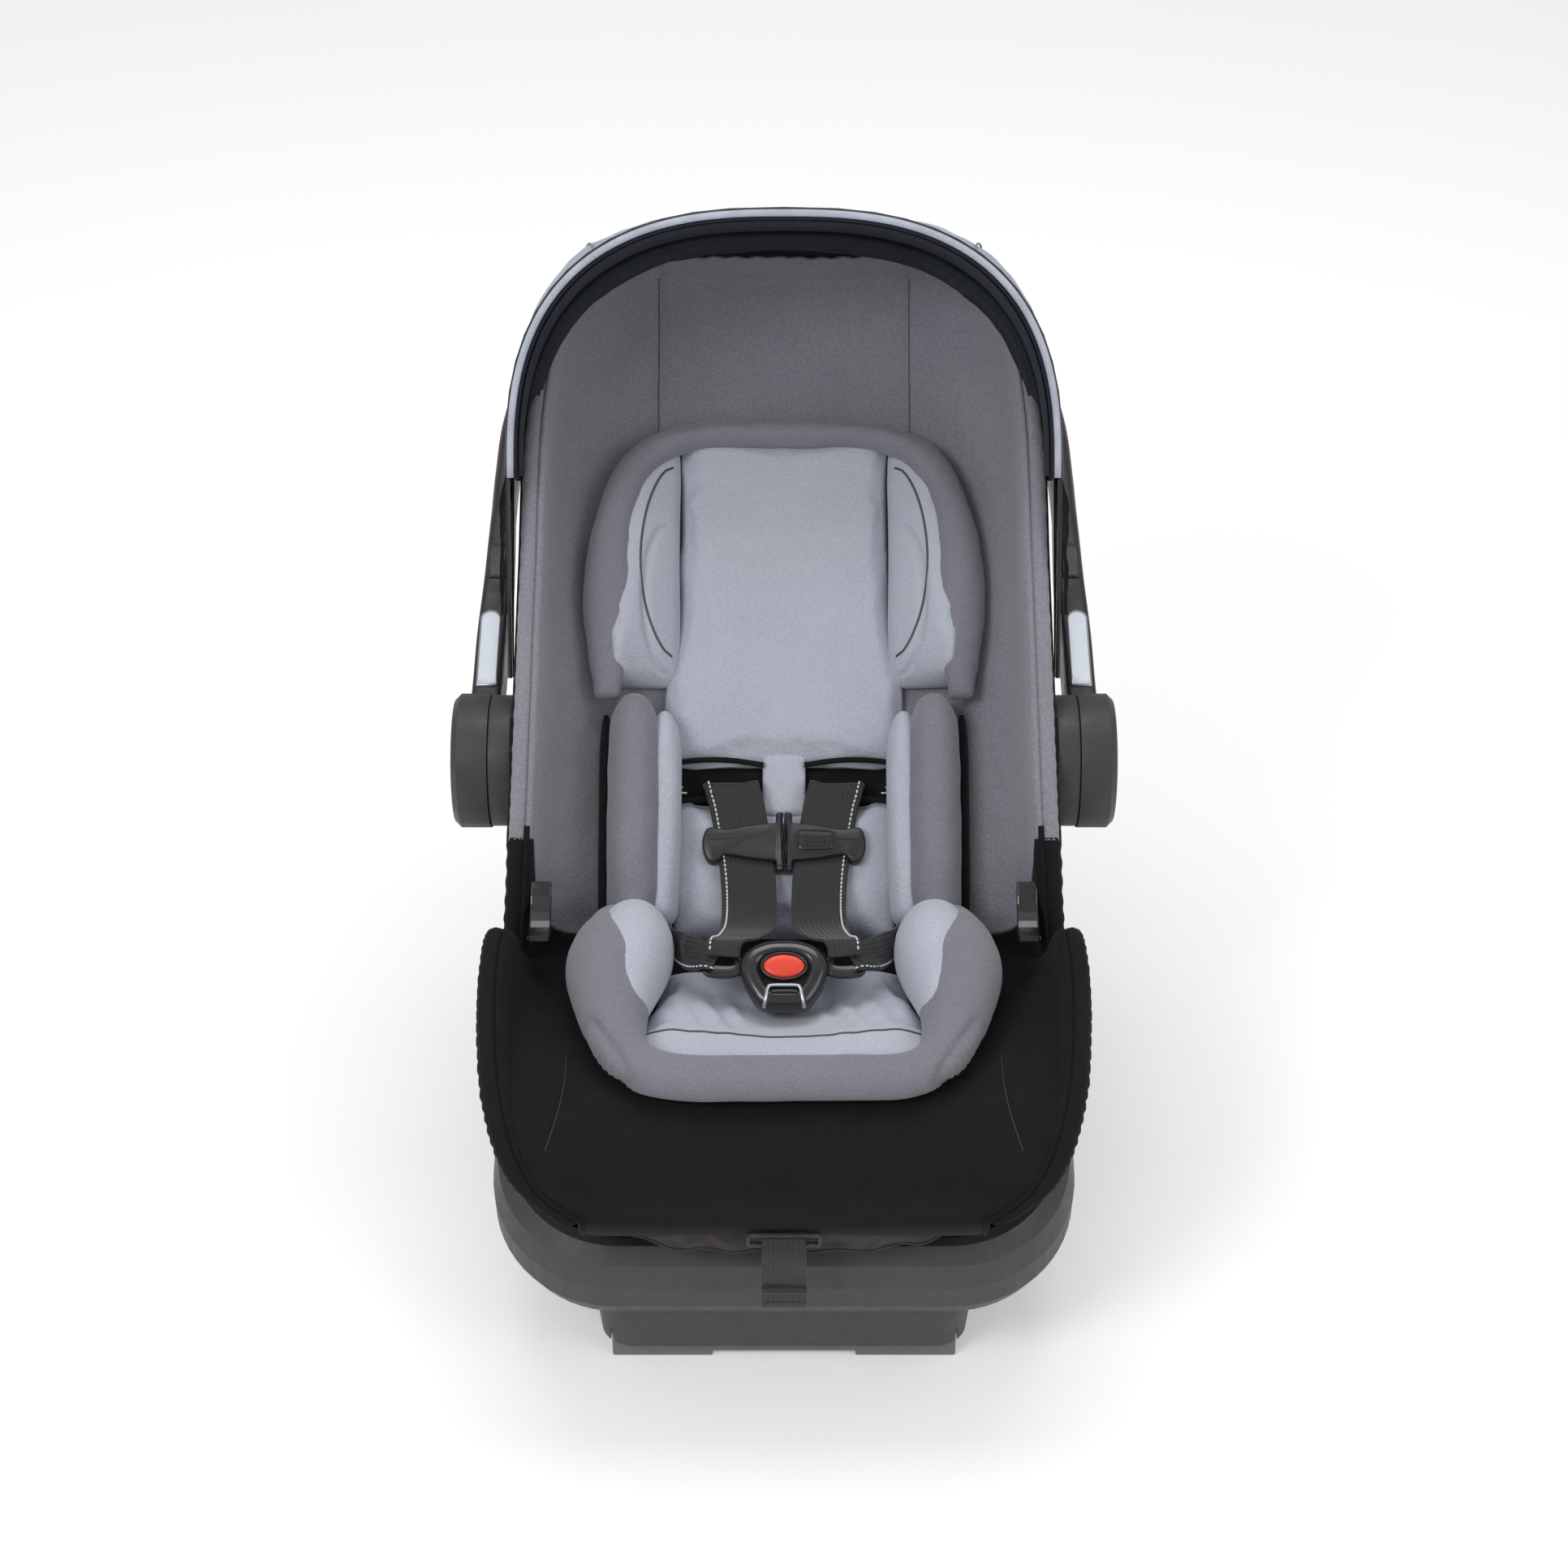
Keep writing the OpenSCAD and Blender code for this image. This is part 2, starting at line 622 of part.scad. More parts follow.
module handle_hub(side) {
  color(plastic)
    translate([side * hub_face, 0, 0]) rotate([0, side * 90, 0])
      difference() {
        union() {
          cylinder(r = hub_r, h = 20);
          translate([0, 0, 20]) cylinder(r1 = hub_r, r2 = hub_r - 4, h = overall_w / 2 - hub_face - 20);
        }
        translate([0, 0, -1]) cylinder(r = axle_r + 0.08, h = 13.2);
        translate([0, 0, overall_w / 2 - hub_face - 8]) cylinder(r = 22.3, h = 20);
      }
}
module handle_button(side) {
  color(plastic)
    translate([side * (overall_w / 2 - 3.4), 0, 0]) rotate([0, side * 90, 0])
      difference() {
        cylinder(r = 22, h = 3.4);
        translate([0, 0, 1.4]) rotate_extrude() translate([13, 0]) square([2, 4]);
      }
}

// ---- canopy ----------------------------------------------------------------
canopy_x = 180.5;                  // half width of the front panel, outside
canopy_end = 190;                  // reach of its lower corners
canopy_n = 2.65;
fabric_t = 2.5;
// The arch of a canopy panel: [half width, reach] at angle a from -90 to 90.
function arch(a, x, top, low, n) =
  let (q = quarter(abs(a), n))
  [signed(a) * x * q[0], low + (top - low) * q[1]];
module panel(x, top, low, from, deg, cut = 0) {
  outer = [for (i = [-16 : 16]) let (p = arch(i * 90 / 16, x, top, low, canopy_n)) if (p[1] >= cut) p];
  inner = [for (i = [16 : -1 : -16])
    let (p = arch(i * 90 / 16, x - fabric_t, top - fabric_t, low, canopy_n)) if (p[1] >= cut) p];
  rotate([0, -90, 0]) rotate([0, 0, from]) rotate_extrude(angle = deg)
    polygon([for (p = concat(outer, inner)) [p[1], p[0]]]);
}
module bow(lean, r) {
  path = concat([[-canopy_x - 2.6, 56], [-canopy_x - 2.6, 120]],
    [for (i = [-14 : 14]) arch(i * 90 / 14, canopy_x + 2.6, canopy_r + 2.6, canopy_end, canopy_n)],
    [[canopy_x + 2.6, 120], [canopy_x + 2.6, 56]]);
  at_lean(lean) bar_in_plane(path, r, r, r, 2);
}
module canopy_front_panel() { color(pale) panel(canopy_x, canopy_r, canopy_end, bow_lean, panel_deg); }
module canopy_mid_panel() {
  color(black) panel(canopy_x - 4, canopy_r - 4, canopy_end, bow_lean + 0.6, panel_deg, 240);
}
module canopy_front_bow() { color(black) bow(bow_lean, 1.7); }
module canopy_mid_bow() { color(black) bow(bow_lean + panel_deg + 1, 1.7); }
// The fixed rear of the canopy, from the last bow round the head end of the shell.
rear_lean = bow_lean + panel_deg + 1.8;
function curve3(a, b, c, k) = mix(mix(a, b, k), mix(b, c, k), k);
function rear_point(k, a, out) =
  let (
    n = mix(canopy_n, 3.3, min(1, k * 2.4)),
    q = quarter(abs(a), n),
    x = mix(179, 183, min(1, 2 * k)) + out,
    way = [sin(rear_lean), cos(rear_lean)],
    low0 = canopy_end * way,
    top0 = (canopy_r - 3 + out) * way,
    low = curve3(low0, [165, 168], [196, 104], k),
    top = curve3(top0, [326 + out, 290 + out], [296 + out, 146 - out], k),
    yz = mix(low, top, q[1])
  )
  [signed(a) * x * q[0], yz[0], yz[1]];
module canopy_rear() {
  color(pale)
    between([for (k = [0 : 10]) [for (j = [-12 : 12]) rear_point(k / 10, j * 90 / 12, 0)]],
            [for (k = [0 : 10]) [for (j = [-12 : 12]) rear_point(k / 10, j * 90 / 12, -2)]]);
}

// ---- base ------------------------------------------------------------------
// Rings of the base: half width, front y, back y, corner radius, height of the front.
base_rings = [
  [120, -262, 150, 22,  14, -0.1133],
  [124, -266, 156, 26,  50, 0.10],
  [150, -270, 158, 46,  56, 0.22],
  [182, -277, 160, 74,  60, 1],
  [189, -283, 162, 80,  70, 1],
  [190, -284, 163, 82,  86, 1],
  [186, -280, 160, 78, 102, 1],
  [178, -272, 154, 72, 112, 1],
  [170, -264, 148, 66, 112, 1],
  [164, -260, 143, 60, 104, 1],
  [146, -256, 140, 50,  70, 1],
  [118, -256, 130, 24,  60, 0.1],
  [114, -256, 120, 20,  18, -0.1133]
];
function floor_z(y) = 18 - 0.034 * (y + 256);
function base_ring(b) =
  let (corner = b[3], back = b[3] * 0.6)
  [for (p = concat(
    [for (i = [0 : 15]) let (v = i * 6)
      [-b[0] + corner - corner * cos(v), b[1] + corner - corner * sin(v)]],
    [for (i = [0 : 15]) let (v = i * 6)
      [b[0] - corner + corner * sin(v), b[1] + corner - corner * cos(v)]],
    [for (i = [0 : 9]) [b[0] - back + back * cos(i * 10), b[2] - back + back * sin(i * 10)]],
    [for (i = [0 : 9]) [-b[0] + back - back * sin(i * 10), b[2] - back + back * cos(i * 10)]]))
    [p[0], p[1], b[4] + b[5] * rim_slope * (p[1] - b[1])]];
foot_half = 113;
foot_y = [-257, -160];
module base_tray() {
  color(plastic)
    translate([0, hub_y, 0])
      difference() {
        loft([for (b = base_rings) base_ring(b)]);
        translate([-foot_half - 0.6, foot_y[0] - 0.6, -1])
          cube([2 * foot_half + 1.2, foot_y[1] - foot_y[0] + 1.2, 54]);
        for (side = [-1, 1]) for (y = [-40, 60])   // belt path through the side walls
          translate([side * 170, y, 118]) cube([60, 60, 12], center = true);
      }
}
module level_foot() {
  w = foot_half;
  d = foot_y[1] - foot_y[0];
  color(plastic)
    translate([0, hub_y + foot_y[0], 0])
      difference() {
        translate([-w, 0, 0]) cube([2 * w, d, 48]);
        translate([-w + 3, 3, 7]) cube([2 * w - 6, d - 6, 60]);
        translate([-47, -1, -1]) cube([94, d + 2, 5]);
      }
}
module anchor_saddles() {
  color(plastic)
    translate([0, hub_y, 0])
      for (y = bar_y) for (side = [-1, 1])
        translate([side * 66, y, 0])
          difference() {
            translate([-9, -16, floor_z(y - 16) + 0.1])
              cube([18, 32, hub_z + bar_z - floor_z(y) + 3]);
            translate([0, 0, hub_z + bar_z]) rotate([0, 90, 0])
              cylinder(r = bar_r + 0.5, h = 40, center = true);
            translate([-20, -bar_r - 0.5, hub_z + bar_z]) cube([40, 2 * bar_r + 1, 40]);
          }
}
module level_window() {
  color("#d8e6ea")
    translate([rim_w + 0.1, hub_y - 40, 158]) rotate([0, 90, 0]) cylinder(r = 9, h = 3);
}
module latch_belt() {
  color(black)
    translate([0, hub_y + 92, 0])
      for (side = [-1, 1])
        translate([side * 44 - 29, -12.5, 8.4]) cube([58, 25, 1.4]);
}
module latch_adjuster() {
  color(steel)
    translate([0, hub_y + 92, 7.4])
      difference() {
        translate([-14.5, -17, 0]) cube([29, 34, 6]);
        translate([-20, -13.4, 0.8]) cube([40, 26.8, 2.2]);
      }
}
module latch_connectors() {
  color(plastic)
    translate([0, hub_y + 92, 7.4])
      for (side = [-1, 1])
        translate([side * 86, 0, 6])
          difference() {
            cube([24, 34, 12], center = true);
            translate([side * 6, 0, 0]) cube([20, 10, 20], center = true);
          }
}

base_tray();
anchor_saddles();
level_window();
latch_belt();
latch_connectors();
latch_adjuster();
level_foot();
hub_frame() carrier_shell();
hub_frame() rocker_rail(-1);  // rocker_rail_left
hub_frame() rocker_rail(1);  // rocker_rail_right
hub_frame() anchor_bars();
hub_frame() foam_liner();
hub_frame() seat_cover_back();
hub_frame() seat_cover_front();
hub_frame() cover_skirt();
hub_frame() head_pillow();
hub_frame() head_wing(-1);  // head_wing_left
hub_frame() head_wing(1);  // head_wing_right
hub_frame() insert_upper_pad();
hub_frame() insert_lower_pad();
hub_frame() insert_bolster(-1);  // insert_bolster_left
hub_frame() insert_bolster(1);  // insert_bolster_right
hub_frame() seat_cushion();
hub_frame() seat_bolster();
hub_frame() shoulder_strap(-1);  // shoulder_strap_left
hub_frame() shoulder_strap(1);  // shoulder_strap_right
hub_frame() hip_strap(-1);  // hip_strap_left
hub_frame() hip_strap(1);  // hip_strap_right
hub_frame() crotch_strap();
hub_frame() buckle_tongue(-1);  // buckle_tongue_left
hub_frame() buckle_tongue(1);  // buckle_tongue_right
hub_frame() buckle_body();
hub_frame() harness_yoke();
hub_frame() adjuster_strap();
hub_frame() adjuster_housing();
hub_frame() hub_housing(-1);  // hub_housing_left
hub_frame() hub_housing(1);  // hub_housing_right
hub_frame() hub_axles();
hub_frame() belt_guide(-1);  // belt_guide_left
hub_frame() belt_guide(1);  // belt_guide_right
hub_frame() canopy_rear();
hub_frame() shell_screws();
hub_frame() buckle_button();
hub_frame() chest_clip_left();
hub_frame() chest_clip_right();
hub_frame() chest_clip_button();
hub_frame() adjuster_lever();
hub_frame() handle_bar();
hub_frame() handle_hub(-1);  // handle_hub_left
hub_frame() handle_hub(1);  // handle_hub_right
hub_frame() handle_insert(-1);  // handle_insert_left
hub_frame() handle_insert(1);  // handle_insert_right
hub_frame() handle_grip();
hub_frame() handle_button(-1);  // handle_button_left
hub_frame() handle_button(1);  // handle_button_right
hub_frame() canopy_mid_bow();
hub_frame() canopy_mid_panel();
hub_frame() canopy_front_bow();
hub_frame() canopy_front_panel();
hub_frame() release_handle();
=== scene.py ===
"""Infant car seat: fabrics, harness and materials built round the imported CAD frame."""
import math
import bpy
from mathutils import Matrix, Vector, noise
from mathutils.bvhtree import BVHTree


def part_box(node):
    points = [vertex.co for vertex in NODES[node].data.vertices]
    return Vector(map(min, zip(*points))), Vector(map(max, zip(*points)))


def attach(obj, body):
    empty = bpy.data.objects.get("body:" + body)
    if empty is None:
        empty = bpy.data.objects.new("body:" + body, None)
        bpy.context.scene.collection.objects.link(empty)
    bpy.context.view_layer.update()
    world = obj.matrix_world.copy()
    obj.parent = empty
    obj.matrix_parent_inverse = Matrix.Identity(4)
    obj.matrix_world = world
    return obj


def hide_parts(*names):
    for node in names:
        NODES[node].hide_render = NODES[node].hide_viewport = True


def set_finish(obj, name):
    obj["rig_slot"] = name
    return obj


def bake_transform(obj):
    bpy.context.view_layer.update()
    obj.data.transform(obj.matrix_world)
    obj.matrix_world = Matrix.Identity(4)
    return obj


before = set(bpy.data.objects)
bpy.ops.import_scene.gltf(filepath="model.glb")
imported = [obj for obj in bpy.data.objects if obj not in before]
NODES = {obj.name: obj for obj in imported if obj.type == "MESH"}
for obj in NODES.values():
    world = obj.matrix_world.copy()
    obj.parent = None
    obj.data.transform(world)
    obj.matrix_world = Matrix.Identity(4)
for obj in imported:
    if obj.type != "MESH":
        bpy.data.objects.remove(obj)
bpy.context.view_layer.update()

MM = 0.001
SIDES = ((-1, "left"), (1, "right"))
# The handle's axis: everything on the carrier is laid out from it, in millimetres.
axle_low, axle_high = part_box("hub_axles")
HUB = (axle_low + axle_high) / 2
HUB.x = 0.0


def hub(x, y, z):
    """A point given in millimetres from the handle's axis, in the row frame."""
    return Vector((HUB.x + x * MM, HUB.y + y * MM, HUB.z + z * MM))


# ---- the seat's surface, as in the CAD -------------------------------------
# Rows from the front lip to the top edge: middle y, middle z, half width, rim y, rim z.
SEAT_ROWS = [
    (-303, -140, 124, -303, -138), (-294, -110, 156, -290, -116), (-250, -91, 173, -256, -82),
    (-180, -102, 180, -188, -60), (-110, -124, 178, -134, -46), (-55, -122, 172, -100, -84),
    (-15, -90, 166, -72, -8), (60, -22, 164, -15, 46), (130, 45, 162, 60, 112),
    (205, 117, 159, 145, 192), (262, 176, 146, 217, 241), (284, 214, 126, 252, 246),
    (272, 240, 98, 270, 240),
]
TOP = 12              # the station of the top edge
BOWL_N = 2.6          # how square the seat's cross-section is: 2 would be an ellipse
SLOT_S = 6.645        # the station of the shoulder slots
EAR_X = 112           # half the distance between the seat bolster's two arms


def mix(a, b, t):
    return a + (b - a) * t


def clamp(v, lo=0.0, hi=1.0):
    return max(lo, min(hi, v))


def smoothstep(a, b, v):
    t = clamp((v - a) / (b - a))
    return t * t * (3 - 2 * t)


def bell(v, width):
    return math.exp(-(v / width) ** 2)


def sign(v):
    return -1 if v < 0 else 1


def spline4(a, b, c, d, t):
    return 0.5 * (2 * b + (c - a) * t + (2 * a - 5 * b + 4 * c - d) * t * t
                  + (3 * b - a - 3 * c + d) * t ** 3)


def along(rows, s):
    """The rows' values at a station s between them, on a smooth curve."""
    n = len(rows)
    i = min(n - 2, max(0, math.floor(s)))
    t = s - i
    p = [rows[max(0, i - 1)], rows[i], rows[i + 1], rows[min(n - 1, i + 2)]]
    return [spline4(*(q[k] for q in p), t) for k in range(len(rows[0]))]


def smooth(points, k):
    """A smooth path through a few points, with k steps between two of them."""
    return [Vector(along(points, j / k)) for j in range((len(points) - 1) * k + 1)]


def way_out(s):
    """The way out of the seat's surface at station s, as y and z of a unit vector."""
    a, b = along(SEAT_ROWS, max(0, s - 0.05)), along(SEAT_ROWS, min(TOP, s + 0.05))
    y, z = b[0] - a[0], b[1] - a[1]
    n = math.hypot(y, z)
    return z / n, -y / n


def quarter(a, n):
    """Shares across and down of a rounded corner of exponent n, at an angle from 0 to 90."""
    return math.sin(math.radians(a)) ** (2 / n), max(0.0, math.cos(math.radians(a))) ** (2 / n)


def sideways(s):
    """How much of a layer's thickness goes sideways at the rim, less towards the top edge."""
    return 1 - 0.6 * smoothstep(8.5, 10.3, s)


def seat_at(s, u, out):
    """Station s, share u across from -1 to 1, out millimetres outside the cover's face."""
    r, n, w = along(SEAT_ROWS, s), way_out(s), sideways(s)
    qx, qd = quarter(90 * min(1, abs(u)), BOWL_N)
    y = mix(r[3] + n[0] * out * (1 - w), r[0] + n[0] * out, qd)
    z = mix(r[4] + n[1] * out * (1 - w), r[1] + n[1] * out, qd)
    return Vector((sign(u) * (r[2] + out * w) * qx, y, z))


def seat_x(s, x, out):
    """The same surface at a stated x."""
    r, n, w = along(SEAT_ROWS, s), way_out(s), sideways(s)
    g = min(1, abs(x) / (r[2] + out * w))
    keep = (1 - g ** BOWL_N) ** (1 / BOWL_N)
    return Vector((x, mix(r[3] + n[0] * out * (1 - w), r[0] + n[0] * out, keep),
                   mix(r[4] + n[1] * out * (1 - w), r[1] + n[1] * out, keep)))


def rim(s, side, out, up):
    """A point at the seat's rim, out from the cover's face and up past the edge."""
    n = way_out(s)
    return seat_at(s, side, out) - Vector((0, n[0] * up, n[1] * up))


# ---- view and light ---------------------------------------------------------
def camera_at(target, elevation, distance, lens):
    data = bpy.data.cameras.new("camera")
    cam = bpy.data.objects.new("camera", data)
    bpy.context.scene.collection.objects.link(cam)
    e = math.radians(elevation)
    back = Vector((0, -math.cos(e), math.sin(e)))
    cam.location = target + back * distance
    cam.rotation_mode = "QUATERNION"
    cam.rotation_quaternion = (-back).to_track_quat("-Z", "Y")
    data.lens = lens
    data.sensor_width = 36
    data.clip_start, data.clip_end = 0.05, 50
    bpy.context.scene.camera = cam


def area_light(name, place, size, power):
    data = bpy.data.lights.new(name, "AREA")
    data.shape = "RECTANGLE"
    data.size, data.size_y = size
    data.energy = power
    light = bpy.data.objects.new(name, data)
    bpy.context.scene.collection.objects.link(light)
    light.location = place
    light.rotation_mode = "QUATERNION"
    light.rotation_quaternion = (Vector(AIM) - Vector(place)).to_track_quat("-Z", "Y")


AIM = (0, 0, 0.3)
# Each light: its place, its width and height in metres, and its power in watts.
LIGHTS = {"key": ((-1.6, -1.9, 2.4), (1.2, 1.0), 30), "fill": ((1.9, -1.4, 1.6), (1.4, 1.4), 12),
          "top": ((0, 0.6, 2.6), (1.8, 1.2), 22)}
VIEW = {"elevation": 35, "distance": 2.2, "lens": 75.2}
SKY_STRENGTH = 0.5
FLOOR_HALF, FLOOR_TONE, FLOOR_GLOW = 9, 0.93, 0.22


def studio():
    camera_at(hub(0, -9, -13), **VIEW)
    world = bpy.data.worlds.new("studio")
    world.use_nodes = True
    sky = world.node_tree.nodes["Background"].inputs
    sky["Color"].default_value = (1, 1, 1, 1)
    sky["Strength"].default_value = SKY_STRENGTH
    bpy.context.scene.world = world
    bpy.context.scene.view_settings.view_transform = "Standard"
    for name, (place, size, power) in LIGHTS.items():
        area_light(name, place, size, power)
    data = bpy.data.meshes.new("floor")
    corners = [(x * FLOOR_HALF, y * FLOOR_HALF, 0) for x, y in ((-1, -1), (1, -1), (1, 1), (-1, 1))]
    data.from_pydata(corners, [], [(0, 1, 2, 3)])
    floor = bpy.data.objects.new("floor", data)
    bpy.context.scene.collection.objects.link(floor)
    mat, _, shader = new_material("floor")
    preset(shader, Base_Color=(FLOOR_TONE, FLOOR_TONE, FLOOR_TONE, 1), Roughness=0.9,
           Emission_Color=(1, 1, 1, 1), Emission_Strength=FLOOR_GLOW)
    data.materials.append(mat)


# ---- materials --------------------------------------------------------------
WAVE_PERIOD = 0.314       # the distance between a wave texture's bands at a scale of 1, in metres
CLOTH_SPECULAR = 0.16
DIAGONAL = (math.radians(45), 0, 0)


def new_material(name):
    mat = bpy.data.materials.new(name)
    mat.use_nodes = True
    return mat, mat.node_tree, mat.node_tree.nodes["Principled BSDF"]


def preset(shader, **values):
    """Set a shader's constant inputs."""
    for key, value in values.items():
        shader.inputs[key.replace("_", " ")].default_value = value


def feed(tree, socket, value):
    """Set a socket, or link it where the value is another node's output."""
    if isinstance(value, bpy.types.NodeSocket):
        tree.links.new(value, socket)
    else:
        socket.default_value = value


def add(tree, kind, settings=None, **inputs):
    """A node with its settings and its inputs' values or links."""
    made = tree.nodes.new(kind)
    for key, value in (settings or {}).items():
        setattr(made, key, value)
    for key, value in inputs.items():
        feed(tree, made.inputs[key.replace("_", " ")], value)
    return made


def stretched(tree, scale, turn=(0, 0, 0)):
    """Object coordinates in metres, scaled and turned."""
    coords = add(tree, "ShaderNodeTexCoord")
    return add(tree, "ShaderNodeMapping", Vector=coords.outputs["Object"], Scale=scale,
               Rotation=turn).outputs["Vector"]


def math_node(tree, operation, a, b):
    made = add(tree, "ShaderNodeMath", {"operation": operation})
    for socket, value in zip(made.inputs, (a, b)):
        feed(tree, socket, value)
    return made.outputs[0]


def tinted(tree, factor, low, high):
    """A colour between low and high."""
    return add(tree, "ShaderNodeMixRGB", Fac=factor, Color1=(*low, 1),
               Color2=(*high, 1)).outputs["Color"]


def finish_material(tree, shader, colour, height, depth, strength, rough):
    """Link the colour and a bump of that depth in metres, and set the roughness."""
    tree.links.new(colour, shader.inputs["Base Color"])
    bump = add(tree, "ShaderNodeBump", Height=height, Strength=strength, Distance=depth)
    tree.links.new(bump.outputs["Normal"], shader.inputs["Normal"])
    preset(shader, Roughness=rough)


def patchy(tree, scale, detail=3):
    return add(tree, "ShaderNodeTexNoise", Vector=stretched(tree, (1, 1, 1)), Scale=scale,
               Detail=detail).outputs["Fac"]


def darker(colour, share):
    return tuple(c * share for c in colour)


def knit(name, colour, cell=0.0021, hole_shade=0.55, sheen=0.25):
    """A knitted spacer mesh: rows of small openings darkened with painted shade, and slow random changes of
    tone.
    """
    mat, tree, shader = new_material(name)
    cells = add(tree, "ShaderNodeTexVoronoi", {"feature": "F1"}, Vector=stretched(tree, (1, 1, 1), DIAGONAL),
                Scale=1 / cell, Randomness=1.0)
    rise = math_node(tree, "SMOOTH_MAX", cells.outputs["Distance"], 0.22)
    shade = math_node(tree, "MULTIPLY", rise, 1.6)
    # painted shade: the colour is darkened where the bump sinks, in the openings between the knit's cells
    body = tinted(tree, shade, colour, darker(colour, hole_shade))
    slow = tinted(tree, patchy(tree, 14), (0.9, 0.9, 0.92), (1.08, 1.08, 1.06))
    tone = add(tree, "ShaderNodeMixRGB", {"blend_type": "MULTIPLY"}, Fac=1.0, Color1=body, Color2=slow)
    lower = math_node(tree, "MULTIPLY", cells.outputs["Distance"], -1.0)
    finish_material(tree, shader, tone.outputs["Color"], lower, 0.0005, 0.5, 0.88)
    preset(shader, Sheen_Weight=sheen, Sheen_Roughness=0.5, Specular_IOR_Level=CLOTH_SPECULAR)
    return mat


def woven(name, colour, pitch=0.0009, strength=0.4, rough=0.85, sheen=0.15, wrinkle=0.0):
    """A plain weave of crossing threads, with faint slubs."""
    mat, tree, shader = new_material(name)
    turned = stretched(tree, (1, 1, 1), DIAGONAL)
    warp, weft = (add(tree, "ShaderNodeTexWave", {"bands_direction": way}, Vector=turned,
                      Scale=WAVE_PERIOD / pitch, Distortion=0.6) for way in "XY")
    threads = math_node(tree, "MULTIPLY", warp.outputs["Fac"], weft.outputs["Fac"])
    slubs = patchy(tree, 60, 4)
    tone = tinted(tree, slubs, darker(colour, 0.75), darker(colour, 1.3))
    if wrinkle:
        folds = math_node(tree, "MULTIPLY", patchy(tree, 22, 2), wrinkle)
        threads = math_node(tree, "ADD", threads, folds)
    finish_material(tree, shader, tone, threads, 0.0004, strength, rough)
    preset(shader, Sheen_Weight=sheen, Specular_IOR_Level=CLOTH_SPECULAR)
    return mat


def ribbed(name, colour):
    """Harness webbing: ribs along its length, crossed by a fine herringbone, with painted highlight on the
    ribs and painted shade between them.
    """
    mat, tree, shader = new_material(name)
    uv = add(tree, "ShaderNodeUVMap", {"uv_map": "webbing"}).outputs["UV"]
    ribs, bone = (add(tree, "ShaderNodeTexWave", {"bands_direction": way}, Vector=uv,
                      Scale=WAVE_PERIOD / pitch) for way, pitch in (("X", 0.0032), ("DIAGONAL", 0.0011)))
    height = math_node(tree, "ADD", ribs.outputs["Fac"],
                       math_node(tree, "MULTIPLY", bone.outputs["Fac"], 0.5))
    # painted light and shade: the colour is lighter on the ribs' tops and darker in the grooves, following
    # the bump's height
    tone = tinted(tree, math_node(tree, "MULTIPLY", height, 0.6), darker(colour, 0.6), darker(colour, 1.9))
    finish_material(tree, shader, tone, height, 0.0006, 0.6, 0.55)
    preset(shader, Sheen_Weight=0.2)
    return mat


def grained(name, colour, rough, grain=0.0011, strength=0.35, coat=0.0):
    """Moulded plastic with a pebbled grain, polished a little unevenly."""
    mat, tree, shader = new_material(name)
    cells = add(tree, "ShaderNodeTexVoronoi", {"feature": "SMOOTH_F1"}, Vector=stretched(tree, (1, 1, 1)),
                Scale=1 / grain, Smoothness=0.6)
    tone = tinted(tree, patchy(tree, 30, 4), darker(colour, 0.88), darker(colour, 1.1))
    finish_material(tree, shader, tone, cells.outputs["Distance"], 0.00025, strength, rough)
    worn = patchy(tree, 90, 5)
    spread = add(tree, "ShaderNodeMapRange", Value=worn, From_Min=0.3, From_Max=0.7, To_Min=rough - 0.06,
                 To_Max=rough + 0.08)
    tree.links.new(spread.outputs["Result"], shader.inputs["Roughness"])
    preset(shader, Coat_Weight=coat)
    return mat


def metal(name, colour, rough=0.3, direction=(1, 1, 60)):
    """Brushed metal: fine streaks along one way."""
    mat, tree, shader = new_material(name)
    streaks = add(tree, "ShaderNodeTexNoise", Vector=stretched(tree, direction), Scale=60, Detail=6)
    tone = tinted(tree, streaks.outputs["Fac"], darker(colour, 0.85), colour)
    finish_material(tree, shader, tone, streaks.outputs["Fac"], 0.00008, 0.25, rough)
    preset(shader, Metallic=1.0)
    return mat


def thread(name, colour):
    """Sewing thread, a little uneven."""
    mat, tree, shader = new_material(name)
    tone = tinted(tree, patchy(tree, 900, 2), darker(colour, 0.75), colour)
    finish_material(tree, shader, tone, patchy(tree, 1500, 2), 0.0002, 0.4, 0.7)
    return mat


def clear(name, colour):
    """The clear plastic of a small window."""
    mat, tree, shader = new_material(name)
    tone = tinted(tree, patchy(tree, 40), darker(colour, 0.95), colour)
    tree.links.new(tone, shader.inputs["Base Color"])
    preset(shader, Roughness=0.08, Transmission_Weight=0.6)
    return mat


def foam(name, colour):
    """Foam of pressed beads."""
    mat, tree, shader = new_material(name)
    beads = add(tree, "ShaderNodeTexVoronoi", Vector=stretched(tree, (1, 1, 1)), Scale=260)
    tone = tinted(tree, beads.outputs["Distance"], colour, darker(colour, 0.8))
    finish_material(tree, shader, tone, beads.outputs["Distance"], 0.0005, 0.4, 0.8)
    return mat


